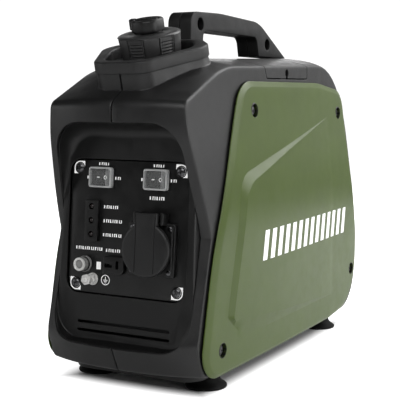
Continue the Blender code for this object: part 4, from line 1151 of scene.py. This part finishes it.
def make_feet():
    """Ribbed base tray and four flared rubber feet."""
    tray = slab("tray", TRAY, 11.6, 20.6, TRIM, Matrix(), 0.8, 1.0)
    grooves = [slab("groove_tool", rectangle(40, 3, 2.9, 0, y), 10, 13.6, None, Matrix(), 0.1)
               for y in range(-96, 97, 24)]
    carve(tray, *grooves)
    fit(tray, "fascia_plastic", "base_tray")
    profile = [(0, 11.4), (12.2, 11.4), (13, 10.8), (13.4, 9.2), (14.4, 7.2), (16.8, 4.8), (19.2, 3.4),
               (20.3, 2.4), (20.5, 1.0), (20.0, 0.15), (19.0, 0.0), (17, 0.0), (16.4, 0.8), (12, 0.8),
               (11.4, 0.0), (0, 0.0)]
    for end, sy in (("front_", -1), ("rear_", 1)):
        for side, sx in (("right", 1), ("left", -1)):
            foot = lathe("rubber_" + end + side, profile, RUBBER, move(sx * FEET[0], sy * FEET[1], 0), 64)
            fit(foot, "foot_rubber", "foot_" + end + side)


def make_left_controls():
    """Recoil handle in its pocket and the choke knob."""
    y, z = RECOIL_AT
    face = side_x(y, z) + PANEL_LIFT
    ribs = []
    grip = slab("grip", rectangle(*RECOIL_GRIP, y, z), -face + 3.2, -face + 20, GRIP, SIDEWARD, 5.0, 5.0, 12)
    for k in (-3, -2, -1, 1, 2, 3):
        groove = rectangle(1.2, 14, 0.5, y + k * 9, z)
        ribs.append(cutter(groove, -face - 5, -face + 4.4, SIDEWARD))
    carve(grip, *ribs)
    profile = [(0, 44 - face), (3.0, 44 - face), (3.2, 19 - face), (0, 19 - face)]
    rope = lathe("rope", profile, GRIP, move(0, y, z) @ OUTWARD, 24)
    fit(merge("recoil_grip", grip, rope), "trim_plastic", "recoil_handle", body="recoil_handle")
    y, z = CHOKE_AT
    face = side_x(y, z) + PANEL_LIFT
    at = move(-face - 1, y, z) @ OUTWARD

    def notches(radius, angle, height):
        """Grooves round the knob's edge."""
        return radius - (0.5 if radius > 12 and sin(16 * angle) > 0.4 else 0)

    profile = [(0, -5.8), (11.4, -5.8), (12.6, -5.2), (13, -4.4), (13, -2.8), (0, -2.8)]
    knob = lathe("knob", profile, TRIM, at, 48, notches)
    low, high = (-face - 7.4, y - 2.5, z - 9), (-face - 3.9, y + 2.5, z + 19.8)
    grip = block("grip", low, high, TRIM, Matrix(), 0.9)
    shaft = lathe("shaft", [(0, -4), (4.4, -4), (4.4, 16), (0, 16)], TRIM, at, 24)
    fit(merge("choke_knob", knob, grip, shaft), "trim_plastic", "choke_lever", body="choke_lever")


def dress_inside():
    """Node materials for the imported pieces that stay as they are."""
    finishes = {"crankcase": CAST, "cylinder_head": CAST, "carburettor": CAST, "recoil_pulley": CAST,
                "inverter_module": CAST, "spark_plug": BRIGHT, "crankshaft": BRIGHT, "flywheel_rotor": SCREW,
                "stator": TRIM, "air_filter": FASCIA, "silencer": PIPE, "fuel_tank": TANK}
    for name, finish in finishes.items():
        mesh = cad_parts[name].data
        mesh.materials.clear()
        mesh.materials.append(finish)


# ================================================================ studio
CAMERA_PLACE = (0.51223, -0.97914, 0.28148)          # m
CAMERA_PITCH, CAMERA_YAW = 5.985, 28.638             # degrees
CAMERA_LENS, CAMERA_SENSOR = 89.788, 36              # mm
FLOOR_SIZE = 30000
UNDERSIDE_HALF = (0.076, 0.176)      # m, the floor's glow is cut off under this much of the machine: a painted shadow
CONTACT_EDGE = (-0.012, 0.018)       # m from there, where the painted shadow fades and the floor turns from dark to pale
BACKDROP_DIRECTION = (0.0, 1.0, 0)
BACKDROP_SPREAD, BACKDROP_LEVEL = (-0.2, 1.0), 0.68    # cosines where it starts and is full, strength
HORIZON = (0.2, 0.65)                                  # sines of the heights between which it fades out
GLOW_REACH, GLOW_LEVELS = (0.2, 0.7), (0.92, 1.05)     # m from the middle, glow of the floor, a little dimmer near the machine: painted shade
# Name, place, target, size and power of each light, in metres and watts.
LIGHTS = [("right_light", (1.7, 0.0, 0.5), (0, 0, 0.2), (0.9, 0.9), 7.0),
          ("right_low_light", (1.7, -0.4, 0.15), (0, 0, 0.2), (0.6, 0.4), 1.6),
          ("rear_right_light", (1.15, 1.1, 1.0), (0, 0, 0.2), (0.9, 0.9), 8.5),
          ("left_light", (-1.4, -1.0, 0.5), (0, 0, 0.2), (0.5, 0.8), 2.6),
          ("rear_light", (-0.9, 1.7, 0.5), (0, 0, 0.2), (0.7, 0.5), 6.0),
          ("floor_light_rear", (0.6, 0.9, 1.2), (0.6, 0.9, 0), (1.4, 1.4), 20.0),
          ("floor_light_front", (0.3, -1.0, 0.9), (0.3, -0.9, 0), (0.9, 0.6), 7.5)]


def area_light(name, place, target, size, power):
    """A soft rectangular light."""
    lamp = bpy.data.lights.new(name, "AREA")
    lamp.shape = "RECTANGLE"
    lamp.size, lamp.size_y = size
    lamp.energy = power
    obj = link(name, lamp)
    obj.location = place
    obj.rotation_euler = (Vector(target) - Vector(place)).to_track_quat("-Z", "Y").to_euler()


def make_world():
    """White for the camera; for the object a bright backdrop behind it and a dark room in front."""
    world = bpy.data.worlds.new("studio")
    bpy.context.scene.world = world
    world.use_nodes = True
    nodes = Nodes(world.node_tree)
    place = nodes.node("TexCoord").outputs["Generated"]
    height = nodes.node("SeparateXYZ", Vector=place).outputs["Z"]
    along = nodes.calculate("DOT_PRODUCT", place, BACKDROP_DIRECTION, kind="VectorMath")
    behind = nodes.spread(along, 0.0, BACKDROP_LEVEL, *BACKDROP_SPREAD, "SMOOTHSTEP")
    low = nodes.spread(height, 1.0, 0.0, *HORIZON, "SMOOTHSTEP")
    light = nodes.tree.nodes["Background"]
    nodes.feed(WHITE, light.inputs["Color"])
    nodes.feed(nodes.calculate("MULTIPLY", behind, low), light.inputs["Strength"])
    seen = nodes.node("Background", Color=WHITE, Strength=1.1)
    mix = nodes.node("MixShader", Fac=nodes.node("LightPath").outputs["Is Camera Ray"])
    nodes.feed(light.outputs["Background"], mix.inputs[1])
    nodes.feed(seen.outputs["Background"], mix.inputs[2])
    nodes.feed(mix.outputs["Shader"], nodes.tree.nodes["World Output"].inputs["Surface"])


def make_floor():
    """Pale floor that glows for the camera, with a painted shadow: the glow is dimmer near the machine and
    cut off under it.
    """
    bm = bmesh.new()
    bmesh.ops.create_grid(bm, x_segments=2, y_segments=2, size=FLOOR_SIZE)
    pale = Finish("studio_floor")
    split = pale.node("SeparateXYZ", Vector=pale.place)
    # Painted shadow: the glow fades out at the edge of a box round the machine and is off inside it.
    outside = [pale.calculate("SUBTRACT", pale.calculate("ABSOLUTE", split.outputs[axis]), half)
               for axis, half in zip("XY", UNDERSIDE_HALF)]
    painted_shadow = pale.spread(pale.calculate("MAXIMUM", *outside), 0.0, 1.0, *CONTACT_EDGE, "SMOOTHSTEP")
    away = pale.calculate("LENGTH", pale.place, kind="VectorMath")
    # The glow is also a little dimmer near the machine: painted shade round it.
    glow = pale.spread(away, *GLOW_LEVELS, *GLOW_REACH, "SMOOTHSTEP")
    glow = pale.calculate("MULTIPLY", glow, painted_shadow)
    seen = pale.calculate("MULTIPLY", glow, pale.node("LightPath").outputs["Is Camera Ray"])
    pale.shade(Base_Color=pale.mix(pale.noise(3, 2), (0.88, 0.88, 0.88), (0.92, 0.92, 0.92)), Roughness=0.7,
               Specular_IOR_Level=0.2, Emission_Color=WHITE, Emission_Strength=seen)
    build("studio_floor", bm, pale.material)


def make_studio():
    """Pale floor, soft lights and the camera."""
    make_floor()
    make_world()
    for light in LIGHTS:
        area_light(*light)
    bpy.context.scene.view_settings.view_transform = "Standard"
    camera = link("camera", bpy.data.cameras.new("camera"))
    camera.location = CAMERA_PLACE
    camera.rotation_euler = (radians(90 - CAMERA_PITCH), 0, radians(CAMERA_YAW))
    camera.data.lens = CAMERA_LENS
    camera.data.sensor_width = CAMERA_SENSOR
    bpy.context.scene.camera = camera


make_casing()
make_panels()
make_screws()
make_fascia()
make_plate()
make_prints()
for switch in SWITCHES:
    make_switch(switch)
make_indicators()
make_breaker()
make_sockets()
make_outlet()
make_filler()
make_handle()
make_rear()
make_feet()
make_left_controls()
dress_inside()
make_studio()
